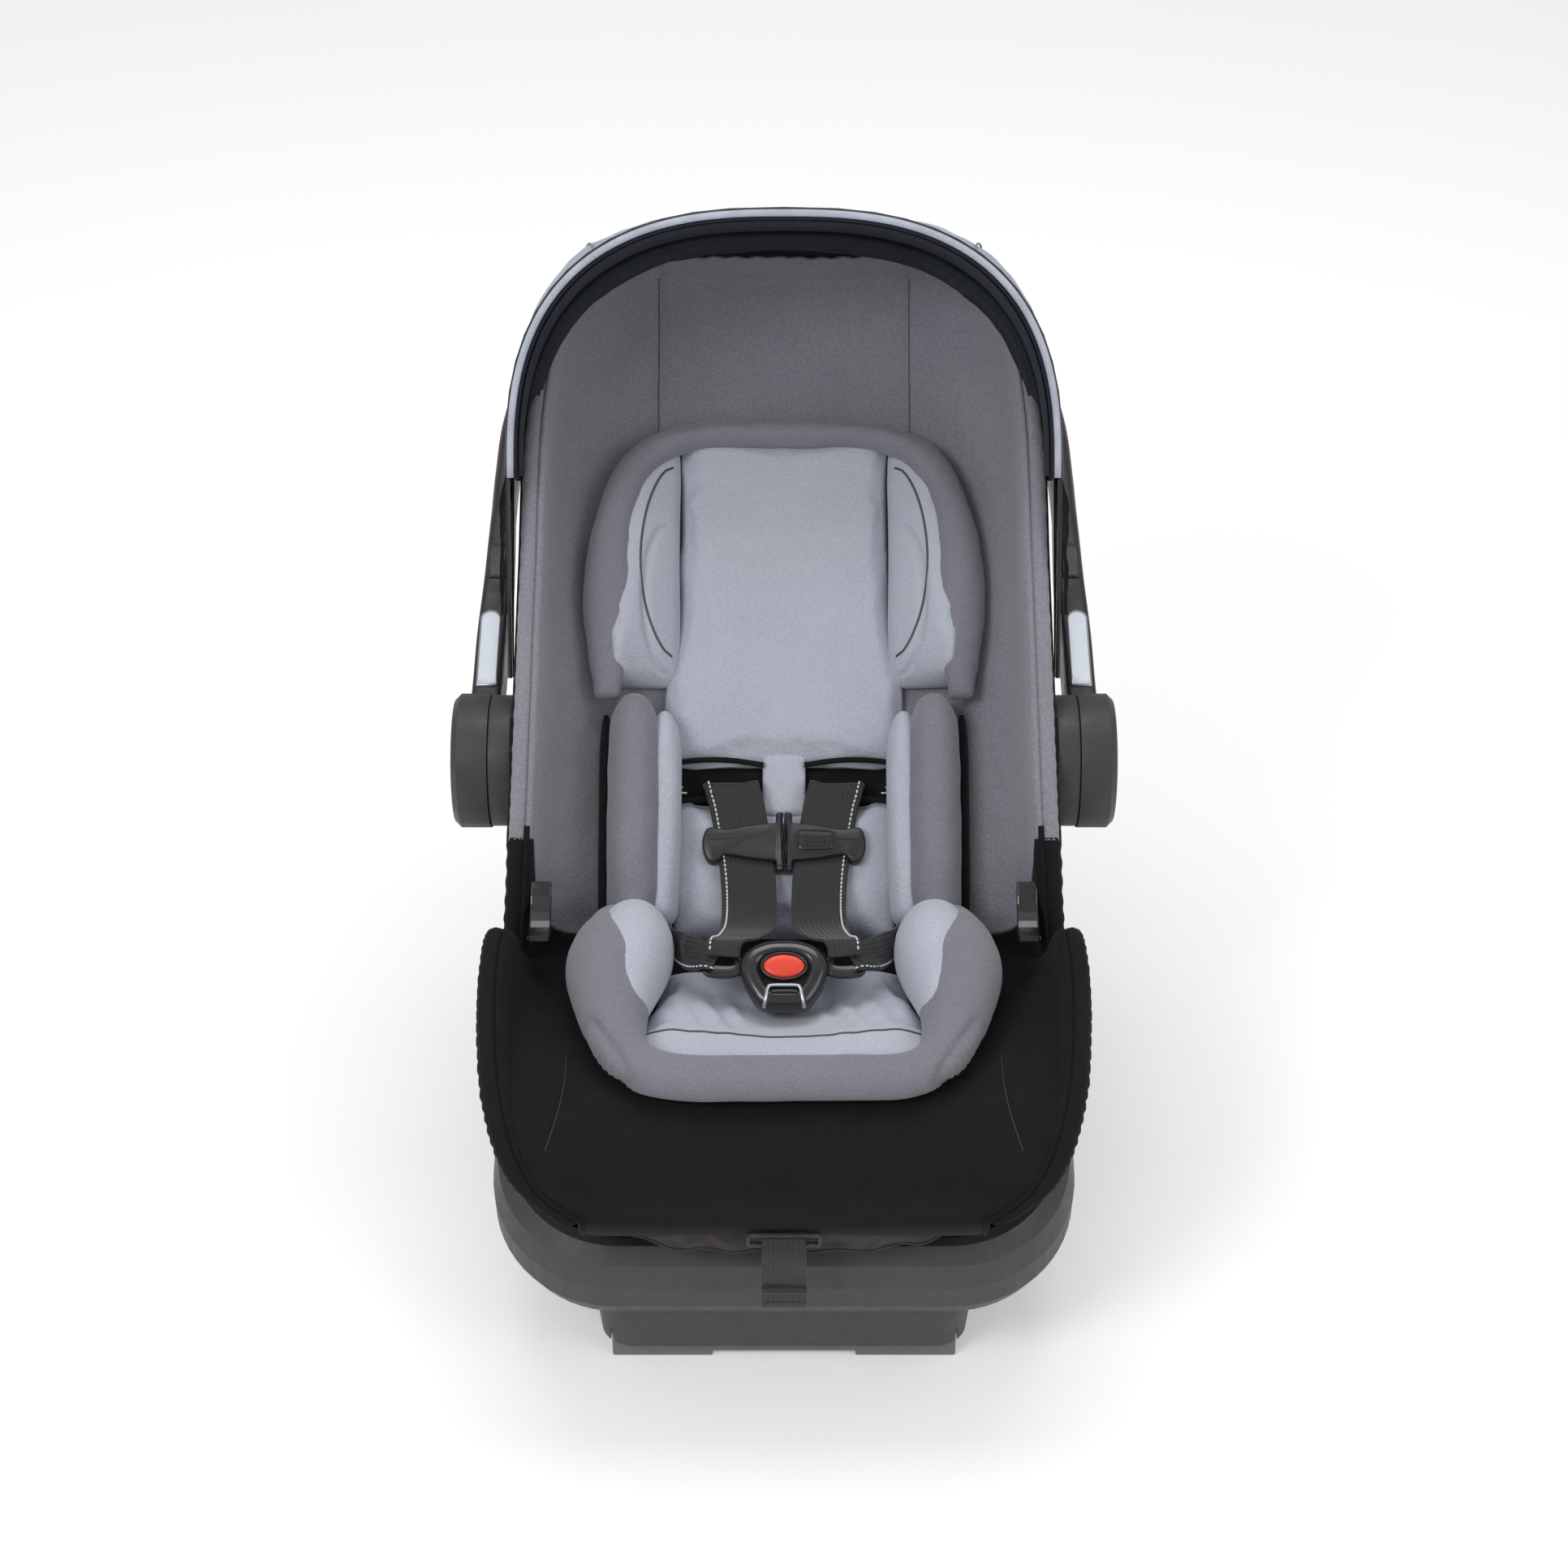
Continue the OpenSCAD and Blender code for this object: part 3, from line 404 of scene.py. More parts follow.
studio()
GREY_MESH = knit("grey_mesh_knit", (0.3, 0.292, 0.338), hole_shade=0.76)
GREY_KNIT = knit("grey_insert_knit", (0.255, 0.249, 0.29), cell=0.0016, hole_shade=0.78)
PALE_KNIT = knit("pale_insert_knit", (0.52, 0.555, 0.64), cell=0.0018, hole_shade=0.84)
BLACK_MESH = knit("black_side_mesh", (0.012, 0.0115, 0.013), cell=0.002, sheen=0.05)
BLACK_CLOTH = woven("black_cover_weave", (0.0095, 0.0082, 0.0083), sheen=0.03)
TRIM_CLOTH = woven("black_trim_weave", (0.008, 0.008, 0.009), pitch=0.0012, wrinkle=0.8, sheen=0.03)
SKIRT_CLOTH = woven("skirt_weave", (0.03, 0.024, 0.026), pitch=0.0007, wrinkle=2.0, sheen=0.12)
CANOPY_CLOTH = woven("canopy_weave", (0.36, 0.4, 0.47), pitch=0.0008, wrinkle=1.0)
LINING_CLOTH = woven("canopy_lining", (0.014, 0.017, 0.028), pitch=0.0008, wrinkle=1.5, rough=0.6,
                     sheen=0.05)
BINDING = woven("canopy_binding", (0.42, 0.45, 0.52), pitch=0.0011, strength=0.6)
WEBBING = ribbed("harness_webbing", (0.0065, 0.0065, 0.007))
WEBBING_PLAIN = woven("latch_webbing", (0.02, 0.02, 0.022), pitch=0.0016, strength=0.6)
WHITE_THREAD = thread("white_thread", (0.75, 0.76, 0.76))
# This dark grey thread is real stitching on the adjuster tail, and painted shade where it draws the seam
# lines of the pale pads and the grey cover.
GREY_THREAD_AND_SEAM_SHADE = thread("grey_thread_and_seam_shade", (0.09, 0.088, 0.105))
PALE_THREAD = thread("pale_thread", (0.25, 0.275, 0.33))
BLACK_THREAD = thread("black_thread", (0.02, 0.02, 0.022))
HUB_PLASTIC = grained("hub_grain", (0.034, 0.034, 0.035), rough=0.52)
SHELL_PLASTIC = grained("shell_grain", (0.014, 0.014, 0.0145), rough=0.46)
BASE_PLASTIC = grained("base_grain", (0.048, 0.048, 0.051), rough=0.5, grain=0.0014, strength=0.5)
FOOT_PLASTIC = grained("foot_grain", (0.14, 0.141, 0.145), rough=0.55)
DARK_PLASTIC = grained("satin_plastic", (0.017, 0.017, 0.018), rough=0.4, grain=0.0007, strength=0.2)
BUTTON_PLASTIC = grained("button_grain", (0.05, 0.05, 0.052), rough=0.45, strength=0.2)
GLOSS_BLACK = grained("gloss_black", (0.012, 0.012, 0.013), rough=0.25, grain=0.003, strength=0.05,
                      coat=0.4)
RED_PLASTIC = grained("red_plastic", (0.78, 0.055, 0.025), rough=0.33, grain=0.002, strength=0.05)
RUBBER = grained("grip_rubber", (0.018, 0.018, 0.019), rough=0.72, grain=0.0016, strength=0.6)
STEEL = metal("steel", (0.6, 0.61, 0.63))
SILVER = metal("satin_aluminium", (0.42, 0.45, 0.49), rough=0.42, direction=(1, 40, 40))
FOAM = foam("bead_foam", (0.82, 0.82, 0.8))
WINDOW = clear("level_glass", (0.75, 0.84, 0.88))

# What recurs: a material with the body its pieces ride on and their slot in the record.
BLACK_TRIM = (TRIM_CLOTH, "carrier", "black_fabric")
STRAP = (WEBBING, "carrier", "black_webbing")
STRAP_STITCH = (WHITE_THREAD, "carrier", "black_webbing")
PALE_PAD = (PALE_KNIT, "carrier", "pale_knit")
# painted shade: the pale pads' seams are drawn as dark thread lines that stand for the shade in their grooves
PALE_PAD_SEAM_SHADE = (GREY_THREAD_AND_SEAM_SHADE, "carrier", "pale_knit")
GREY_PAD = (GREY_KNIT, "carrier", "grey_knit")
SKIRT = (SKIRT_CLOTH, "carrier", "skirt_fabric")
GLOSSY = (GLOSS_BLACK, "carrier", "gloss_black")
METAL = (STEEL, "carrier", "steel")
CLIP = (DARK_PLASTIC, "chest_clip", "dark_plastic")
CLIP_BUTTON = (GLOSS_BLACK, "chest_clip_button", "dark_plastic")
REAR_CLOTH = (CANOPY_CLOTH, "carrier", "canopy_fabric")


# ---- mesh helpers -----------------------------------------------------------
def piece(name, points, faces, mat, body, slot, replaces=(), uv=None):
    """A mesh object from points in millimetres from the hub, riding on a body."""
    data = bpy.data.meshes.new(name)
    data.from_pydata([hub(*p) for p in points], [], faces)
    data.validate()
    if uv:
        layer = data.uv_layers.new(name="webbing")
        for loop in data.loops:
            layer.data[loop.index].uv = uv[loop.vertex_index]
    data.polygons.foreach_set("use_smooth", [True] * len(data.polygons))
    obj = bpy.data.objects.new(name, data)
    bpy.context.scene.collection.objects.link(obj)
    obj.data.materials.append(mat)
    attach(obj, body)
    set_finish(obj, slot)
    if replaces:
        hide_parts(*replaces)
    return obj


def grid_faces(rows, cols, closed=False, looped=False):
    """The faces between rows of points; closed joins a row's ends, looped joins the last row to the first."""
    return [(i * cols + j, i * cols + (j + 1) % cols, (i + 1) % rows * cols + (j + 1) % cols,
             (i + 1) % rows * cols + j)
            for i in range(rows if looped else rows - 1) for j in range(cols if closed else cols - 1)]


def modifier(obj, kind, **values):
    made = obj.modifiers.new(kind.lower(), kind)
    for key, value in values.items():
        setattr(made, key, value)
    return made


def sheet_piece(name, rows, thick, mat, body, slot, replaces=(), offset=0.0):
    """An open sheet through rows of points, thickened by a modifier."""
    obj = piece(name, [p for row in rows for p in row], grid_faces(len(rows), len(rows[0])), mat, body,
                slot, replaces)
    modifier(obj, "SOLIDIFY", thickness=thick * MM, offset=offset)
    return obj


def loft_piece(name, rings, mat, body, slot, replaces=(), uv=None):
    """A closed solid through rings of equally many points, with fan ends."""
    count = len(rings[0])
    points = [p for ring in rings for p in ring]
    faces = grid_faces(len(rings), count, True)
    for ring, base in ((rings[0], 0), (rings[-1], (len(rings) - 1) * count)):
        middle = len(points)
        points.append(sum((Vector(p) for p in ring), Vector()) / count)
        for j in range(count):
            pair = (base + j, base + (j + 1) % count)
            faces.append((middle, *(reversed(pair) if base == 0 else pair)))
    return piece(name, points, faces, mat, body, slot, replaces, uv)


def heading(path, i):
    """The way a path runs at its point i."""
    return (path[min(len(path) - 1, i + 1)] - path[max(0, i - 1)]).normalized()


def square_to(v, go):
    """What is left of v at right angles to go."""
    return v - v.dot(go) * go


def framed(path, up_hint=Vector((0, 0, 1))):
    """Each point of a path with its way on, a side and an up square to it, carried along."""
    made = []
    up = up_hint
    for i, p in enumerate(path):
        go = heading(path, i)
        up = square_to(up, go)
        if up.length < 1e-4:
            up = go.orthogonal()
        up.normalize()
        made.append((p, go, go.cross(up), up.copy()))
    return made


def tube_rings(path, radius, sides):
    turns = [math.tau * k / sides for k in range(sides)]
    return [[p + side * math.cos(t) * radius + up * math.sin(t) * radius for t in turns]
            for p, _, side, up in framed([Vector(q) for q in path])]


def tube(name, path, radius, mat, body, slot, sides):
    return loft_piece(name, tube_rings(path, radius, sides), mat, body, slot)


def looped_tube(name, path, radius, mat, body, slot, sides):
    """A tube along a path that comes back to its start."""
    rings = tube_rings(path + path[:3], radius, sides)[1:len(path) + 1]
    return piece(name, [p for r in rings for p in r], grid_faces(len(rings), sides, True, True), mat, body,
                 slot)


STITCH_LIFT = 0.35
STITCH_TURNS = (0.5, 1.57, 2.64, 3.93, 5.5)      # round a stitch's section, in radians
STITCH_SWELL = ((0.0, 0.35), (0.2, 1.0), (0.8, 1.0), (1.0, 0.35))     # share of length, share of width


def stitches(name, path, mat, body, slot, length=2.6, gap=1.3, width=0.8, up_hint=Vector((0, 0, 1))):
    """A row of thread stitches along a path, each a small rounded bar."""
    points, faces, starts = [], [], []
    walk = framed([Vector(p) for p in path], up_hint)
    spent = 0.0
    for (p, go, side, up), (q, *_) in zip(walk, walk[1:]):
        step = (q - p).length
        while spent < step:
            starts.append((p.lerp(q, spent / step), (q - p).normalized(), side, up))
            spent += length + gap
        spent -= step
    for p, go, side, up in starts:
        base = len(points)
        for share, size in STITCH_SWELL:
            c = p + go * length * share + up * STITCH_LIFT * (size - 0.4)
            points += [c + side * width / 2 * size * math.cos(t) + up * width / 2 * size * math.sin(t)
                       for t in STITCH_TURNS]
        faces += [tuple(base + k for k in f) for f in grid_faces(4, 5, True)]
        faces += [tuple(base + k for k in (4, 3, 2, 1, 0)), tuple(base + 15 + k for k in range(5))]
    return piece(name, points, faces, mat, body, slot)


def moved(value, scale, seed):
    """Smooth noise between about -1 and 1 at a point in millimetres."""
    return noise.noise(Vector(value) / scale + Vector((seed * 7.3, seed * 3.1, seed * 1.7)))


def laid(path, width, across):
    """Each point of a webbing's path with its width there, its side way and its up."""
    widths = width if isinstance(width, list) else [width] * len(path)
    made = []
    for i, p in enumerate(path):
        go = heading(path, i)
        side = square_to(across, go).normalized()
        made.append((p, widths[i], side, side.cross(go)))
    return made


def ribbon(name, path, width, thick, mat, body, slot, across=Vector((1, 0, 0)), replaces=(), crease=0.0):
    """A flat webbing with rounded edges; width may be a list along the path."""
    shares = [-1, -0.94, -0.8, -0.5, -0.2, 0.2, 0.5, 0.8, 0.94, 1]
    rings, uv = [], []
    gone = 0.0
    for i, (p, wide, side, up) in enumerate(laid(path, width, across)):
        if i:
            gone += (p - path[i - 1]).length
        top, low = [], []
        for share in shares:
            half = thick / 2 * (0.35 if abs(share) == 1 else 1)
            lift = crease * moved(p + side * share * 14, 14, 3)
            c = p + side * share * wide / 2 + up * lift
            top.append(c + up * half)
            low.append(c - up * half)
        rings.append(top + low[::-1])
        uv += [(s * wide / 2 * MM, gone * MM) for s in shares + shares[::-1]]
    uv += [(0, 0), (0, gone * MM)]
    return loft_piece(name, rings, mat, body, slot, replaces, uv)


def edge_path(path, width, share, lift, across=Vector((1, 0, 0))):
    """The line at a share of a webbing's half width, lifted off its face."""
    return [p + side * share * wide / 2 + up * lift for p, wide, side, up in laid(path, width, across)]


# ---- soft pieces by simulation -------------------------------------------------
def settled(obj):
    """The object's mesh with its modifiers applied, in place of its own."""
    deps = bpy.context.evaluated_depsgraph_get()
    data = bpy.data.meshes.new_from_object(obj.evaluated_get(deps), depsgraph=deps)
    obj.modifiers.clear()
    obj.data = data
    data.polygons.foreach_set("use_smooth", [True] * len(data.polygons))


CLOTH_STEPS, CLOTH_STIFFNESS = 20, 20


def inflate(obj, cap, voxel=4.0, pressure=4.0):
    """Blow a closed form up like a stuffed cover, as far as cap millimetres at any point."""
    modifier(obj, "REMESH", mode="VOXEL", voxel_size=voxel * MM, adaptivity=0)
    modifier(obj, "SMOOTH", factor=0.5, iterations=4)
    settled(obj)
    start = [v.co.copy() for v in obj.data.vertices]
    cloth = obj.modifiers.new("cloth", "CLOTH")
    cloth.settings.quality = 5
    cloth.settings.use_pressure = True
    cloth.settings.uniform_pressure_force = pressure
    cloth.settings.effector_weights.gravity = 0
    cloth.settings.tension_stiffness = cloth.settings.compression_stiffness = CLOTH_STIFFNESS
    scene = bpy.context.scene
    for step in range(1, CLOTH_STEPS + 1):
        scene.frame_set(step)
        bpy.context.view_layer.update()
    deps = bpy.context.evaluated_depsgraph_get()
    blown = [v.co.copy() for v in obj.evaluated_get(deps).data.vertices]
    obj.modifiers.clear()
    scene.frame_set(1)
    for vertex, was, now in zip(obj.data.vertices, start, blown):
        move = now - was
        vertex.co = was + move * min(1.0, cap * MM / max(move.length, 1e-9))
    modifier(obj, "SUBSURF", levels=1, render_levels=1)
    settled(obj)


def reshape(obj, change):
    """Move each point of a piece by change(point in millimetres from the hub, its normal)."""
    data = obj.data
    moves = [change((vertex.co - HUB) / MM, vertex.normal) for vertex in data.vertices]
    for vertex, move in zip(data.vertices, moves):
        vertex.co += move * MM
    data.update()


def wrinkled(obj, height, size, seed):
    reshape(obj, lambda p, n: n * height * (moved(p, size, seed) + 0.5 * moved(p, size / 2.3, seed + 5)))


def skin_of(obj):
    """A search tree over a piece's mesh, in the row frame."""
    return BVHTree.FromObject(obj, bpy.context.evaluated_depsgraph_get())


def on_skin(tree, point, way, lift):
    """Where a ray from a point in millimetres meets a mesh, lifted off it, in millimetres."""
    hit, normal, _, _ = tree.ray_cast(hub(*point), Vector(way).normalized())
    if hit is None:
        hit, normal, _, _ = tree.find_nearest(hub(*point))
    if normal.dot(Vector(way)) > 0:
        normal = -normal
    return (hit - HUB) / MM + normal * lift


def onto(tree, s, x, above):
    """The point of a pad's skin over the seat's point at station s and x, met from above."""
    start = seat_x(s, x, -above)
    return on_skin(tree, start, seat_x(s, x, 0) - start, 0.1)


def mirrored(obj, *replaces):
    """A copy of a finished left piece, mirrored across the seat's middle."""
    data = obj.data.copy()
    data.transform(Matrix.Scale(-1, 4, (1, 0, 0)))
    data.flip_normals()
    twin = bpy.data.objects.new(obj.name.replace("left", "right"), data)
    bpy.context.scene.collection.objects.link(twin)
    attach(twin, "carrier")
    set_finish(twin, obj["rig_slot"])
    if replaces:
        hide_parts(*replaces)
    return twin


def padded_pair(obj, *replaces):
    """Make the mirror image of a left pad on the right."""
    for pad in (obj, mirrored(obj, *replaces)):
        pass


# ---- seat covers ----------------------------------------------------------------
COVER_COLUMNS = 120
PANEL_SEAM_X = 88          # the seams either side of the head end's middle panel


def spread(a, b, count):
    """Evenly spaced values from a to b."""
    return [mix(a, b, i / (count - 1)) for i in range(count)]


def cover_seam(u):
    """The station where the grey cover meets the black one, lower in the middle of the seat."""
    return mix(5.25, 5.95, abs(u) ** 6)


def mesh_swell(s, p):
    """How far the padded grey cover stands proud of its even surface, in millimetres."""
    x = abs(p.x)
    seam = 1.9 * bell(x - PANEL_SEAM_X, 2.6) * smoothstep(8.4, 9.2, s)
    side = 2.6 * math.sin(math.pi * clamp((x - PANEL_SEAM_X) / 66)) * smoothstep(7.5, 9.5, s)
    fold = 1.8 * bell(s - 11.35, 0.16) * bell(x, 70) - 2.2 * bell(s - 11.0, 0.2) * bell(x, 60)
    gathers = 0.9 * math.sin(p.x * 0.42) * smoothstep(11.5, 11.95, s)
    slow = 1.5 * moved(p, 42, 1) + 0.5 * moved(p, 15, 2)
    return side - seam + fold + gathers + slow


def front_swell(s, p):
    """The same for the black cover."""
    x = abs(p.x)
    seam = 2.2 * bell((x - front_seam_x(s)) * 0.8, 3.0) * smoothstep(2.5, 1.9, s)
    crown = 3.5 * bell(s - 1.3, 0.7) * bell(x, 120)
    slow = 1.1 * moved(p, 48, 4) + 0.4 * moved(p, 16, 5)
    return crown - seam + slow


def front_seam_x(s):
    """How far out the black cover's side seam runs."""
    return mix(160, 138, smoothstep(0.4, 2.3, s))


def cover_columns(s, side):
    """The points that carry a cover over the rim on one side, from the seat outwards."""
    return [rim(s, side, 1.2, 1.6), rim(s, side, 3.6, 3.4)]


def seat_cover(name, low, high, rows, swell, mat, slot, node, under=()):
    """A cover from station low(u) to high, over both rims."""
    shares = spread(-1, 1, COVER_COLUMNS)
    sheet = []
    for v in spread(0, 1, rows):
        row = []
        for u in shares:
            s = mix(low(u), high(u), v)
            bare = seat_at(s, u, 0)
            row.append(seat_at(s, u, -swell(s, bare)))
        s_left, s_right = mix(low(-1), high(-1), v), mix(low(1), high(1), v)
        sheet.append(cover_columns(s_left, -1)[::-1] + row + cover_columns(s_right, 1))
    for drop, back in under:
        sheet.insert(0, [p + Vector((0, back, -drop)) for p in sheet[0]])
    return sheet_piece(name, sheet, 2.4, mat, "carrier", slot, [node], offset=1.0)


def hem(name, from_s, to_s, rows, mat, slot, side):
    """The elastic hem: from the roll at the rim, over it and down outside the shell, gathered."""
    sheet = []
    for s in spread(from_s, to_s, rows):
        pucker = 0.9 * math.sin(s * 46) + 0.8 * moved((s * 60, side * 50, 0), 9, 6)
        base = [rim(s, side, out, up) for out, up in
                ((3.2, 2.6), (5.6, 4.6), (9.0, 5.4), (12.6, 4.0), (14.4, 1.0))]
        base += [seat_at(s, side * share, out) for share, out in
                 ((0.985, 14.6), (0.96, 14.2), (0.93, 14.6), (0.9, 13.6))]
        weights = [0, 0.2, 0.5, 0.8, 1, 1, 0.9, 1.3, 0.2]
        n = way_out(s)
        sheet.append([p + Vector((side * 0.5 * pucker * w, n[0] * pucker * w * 0.4, n[1] * pucker * w * 0.4))
                      for p, w in zip(base, weights)])
    if side > 0:
        sheet = [row[::-1] for row in sheet]
    return sheet_piece(name, sheet, 1.4, mat, "carrier", slot)


def end_hem(name, s, mat):
    """The gathered edge that closes the cover at the head end."""
    sheet = []
    for u in spread(-1, 1, 140):
        n = way_out(s)
        p = seat_at(s, u, 0)
        wave = 1.1 * math.sin(u * 95) + 0.8 * moved((u * 120, 0, 0), 10, 8)
        on = Vector((0, n[1], -n[0])) * -1
        out = Vector((0, n[0], n[1]))
        sheet.append([p + on * a + out * (b + wave * c) for a, b, c in (
            (-2, 0.4, 0), (3.5, 0.8, 0.5), (6.5, 3.5, 1), (6.5, 8, 1), (2, 13.6, 0.7), (-6, 14.2, 0.5))])
    return sheet_piece(name, sheet, 1.4, mat, "carrier", "black_fabric")


def covers():
    back = seat_cover("back_cover", cover_seam, lambda u: TOP, 170, mesh_swell, GREY_MESH, "grey_mesh",
                      "seat_cover_back")
    front = seat_cover("front_cover", lambda u: 0.0, cover_seam, 130, front_swell, BLACK_CLOTH,
                       "black_fabric", "seat_cover_front", under=((8, 3), (14, 12)))
    for side, word in SIDES:
        hem("back_hem_" + word, 5.93, TOP - 0.02, 260, GREY_MESH, "grey_mesh", side)
        hem("front_hem_" + word, 0.02, 5.95, 220, BLACK_CLOTH, "black_fabric", side)
        # painted shade: each panel seam of the grey cover is a real seam, drawn as a dark thread tube that
        # stands for the shade in its groove
        tree = skin_of(back)
        path = [on_skin(tree, seat_x(s, side * PANEL_SEAM_X, -12), (0, 1, -1), 0.1)
                for s in spread(8.7, 11.95, 60)]
        tube("panel_seam_shade_" + word, path, 0.5, GREY_THREAD_AND_SEAM_SHADE, "carrier", "grey_mesh", 6)
        tree = skin_of(front)
        path = [on_skin(tree, seat_x(s, side * front_seam_x(s), -15), (0, 0.5, -1), 0.1)
                for s in spread(0.75, 2.6, 40)]
        tube("front_seam_" + word, path, 0.7, BLACK_THREAD, "carrier", "black_fabric", 6)
        for name, line, count, out, up, radius in (("edge_piping_", (5.93, 11.98), 160, 14.0, 1.6, 1.5),
                                                   ("notch_binding_", (3.9, 6.05), 60, 2.2, 3.6, 2.1)):
            tube(name + word, [rim(s, side, out, up) for s in spread(*line, count)], radius, *BLACK_TRIM, 8)
    boundary = [seat_at(cover_seam(u), u, -1.0) for u in spread(-1, 1, 120)]
    tube("cover_joint_seam", boundary, 1.3, *BLACK_TRIM, 8)
    end_hem("head_end_hem", TOP - 0.03, TRIM_CLOTH)
    backing = [[seat_x(s, x, -0.9 - 0.5 * moved((x, s * 90, 0), 20, 9)) for x in spread(-121, 121, 60)]
               for s in spread(5.2, 7.4, 50)]
    sheet_piece("harness_backing", backing, 1.0, BLACK_MESH, "carrier", "black_fabric")


def lip_line(u, out):
    """The front lip's edge at share u across, so far out from it."""
    return Vector((u * (132 + out), -297 - out + 40 * abs(u) ** 4, -139))


def skirt():
    """The thin gathered hem under the front lip."""
    rows = []
    for v in spread(0, 1, 22):
        row = []
        for u in spread(-1.06, 1.06, 200):
            p = lip_line(u, 2)
            wave = 2.6 * moved((u * 130, v * 20, 0), 17, 11) + 1.3 * moved((u * 130, v * 34, 5), 8, 12)
            drop = 39 * v * (1 - 0.25 * abs(u) ** 4) + 1.5 * v * math.sin(u * 21)
            row.append(p + Vector((0, 7 * v * v + wave * smoothstep(0, 0.3, v), 6 - drop)))
        rows.append(row)
    cloth = sheet_piece("front_skirt", rows, 0.9, *SKIRT, ["cover_skirt"])
    tube("skirt_elastic", rows[-1], 1.5, *SKIRT, 8)
    tube("lip_piping", [lip_line(u, 3) + Vector((0, 0, 5)) for u in spread(-1.04, 1.04, 90)], 1.6,
         BLACK_CLOTH, "carrier", "black_fabric", 8)


# ---- insert ------------------------------------------------------------------------
PAD_LIFT = 1.0            # between the cover and a pad on it


def crowned(name, low, high, half, thick, node, seed, rows=26, columns=25):
    """A pale crowned pad on the cover, half(t) wide and thick(t, share) thick at a share t of its length."""
    rings = []
    for t in spread(0, 1, rows):
        s = mix(low, high, t)
        end = (1 - abs(2 * t - 1) ** 8) ** 0.5
        w = half(t) * (0.94 + 0.06 * end)
        top, base = [], []
        for share in spread(-1, 1, columns):
            crown = 0.5 + 0.5 * (1 - abs(share) ** 6) ** 0.6 * (0.3 + 0.7 * end)
            x = share * w
            top.append(seat_x(s, x, -PAD_LIFT - thick(t, share) * crown))
            base.append(seat_x(s, x, -PAD_LIFT))
        rings.append(top + base[::-1])
    made = loft_piece(name, rings, *PALE_PAD, [node])
    inflate(made, 4.0)
    wrinkled(made, 0.7, 30, seed)
    return made


ROLL_SIDES, HANDLE_SIDES = 20, 36


def roll_rings(path, heights, across, tall):
    """Rings of a soft roll along stations and places across, as in the CAD."""
    centres = [seat_x(s, x, -h) for (s, x), h in zip(path, heights)]
    rings = []
    for i, p in enumerate(centres):
        go = heading(centres, i)
        n = way_out(path[i][0])
        up = square_to(Vector((0, -n[0], -n[1])), go).normalized()
        side = go.cross(up)
        rings.append([p + side * across[i] * math.cos(math.tau * k / ROLL_SIDES)
                      + up * tall[i] * math.sin(math.tau * k / ROLL_SIDES) for k in range(ROLL_SIDES)])
    return rings


def rounded_ends(sizes, tip, run=4):
    """Sizes along a roll that shrink to a share over its last few rings."""
    made = []
    for i, size in enumerate(sizes):
        share = min(1, min(i, len(sizes) - 1 - i) / run)
        made.append(size * (tip + (1 - tip) * math.sin(math.pi / 2 * share) ** 0.7))
    return made


def pillow():
    """The arch round the head."""
    steps = 48
    turns = spread(-90, 90, steps)
    path = []
    for v in turns:
        qx, qd = quarter(abs(v), 3.6)
        path.append((mix(7.2, 9.13, qd), sign(v) * (124 * qx - 4 * smoothstep(62, 88, abs(v)))))
    across = rounded_ends([mix(mix(8, 13, smoothstep(10, 50, abs(v))), 19, smoothstep(58, 84, abs(v)))
                           for v in turns], 0.5, 3)
    made = loft_piece("head_pillow_roll", roll_rings(path, [19] * steps, across,
                      rounded_ends([15] * steps, 0.5, 3)), *GREY_PAD, ["head_pillow"])
    inflate(made, 3.5)
    wrinkled(made, 0.8, 26, 21)


def wings():
    """The ear pads beside the head."""
    rings = []
    for t in spread(0, 1, 22):
        e = math.sin(math.pi * t)
        end = (1 - abs(2 * t - 1) ** 6) ** 0.5
        top, base = [], []
        for j in spread(0, 1, 13):
            x = -mix(73, mix(118, 101, t) + 8 * e, j)
            thick = (mix(18, mix(37, 26, t), j) + 5 * e * math.sin(math.pi * j)) * (0.35 + 0.65 * end)
            edge = (1 - abs(2 * j - 1) ** 8) ** 0.5
            top.append(seat_x(mix(7.32, 9.05, t), x, -1.4 - thick * (0.6 + 0.4 * edge)))
            base.append(seat_x(mix(7.32, 9.05, t), x, -1.4))
        rings.append(top + base[::-1])
    wing = loft_piece("wing_pad_left", rings, *PALE_PAD, ["head_wing_left"])
    inflate(wing, 3.0, voxel=3.5)

    def lens(p, n):
        """The sewn curve of the ear pad."""
        along_wing = (p.y * 0.73 + p.z * 0.68 - 118) / 52
        if abs(along_wing) > 1:
            return Vector()
        line = -80 - 15 * (1 - along_wing ** 2) ** 0.6
        return -n * 2.6 * bell(p.x - line, 2.4)
    reshape(wing, lens)
    padded_pair(wing, "head_wing_right")
    # painted shade: the ear pad's seam is real, but its dark tube stands for the shade in the seam's groove
    tree = skin_of(wing)
    curve = []
    for t in spread(0, 1, 40):
        curve.append(onto(tree, mix(7.55, 8.82, t), -77 - 21 * math.sin(math.pi * t) ** 0.6, 90))
    mirrored(tube("wing_seam_left", curve, 0.8, *PALE_PAD_SEAM_SHADE, 8))


def straight_roll(name, low, high, xs, lift, across, tip, tall, mat, slot, replaces=()):
    """A roll up the left of the back: xs are its ends' places, across and tall its half sizes."""
    shares = spread(0, 1, len(across))
    path = [(mix(low, high, t), mix(*xs, t)) for t in shares]
    rings = roll_rings(path, [lift] * len(path), rounded_ends(across, tip),
                       rounded_ends([tall] * len(path), 0.5))
    return loft_piece(name, rings, mat, "carrier", slot, replaces)


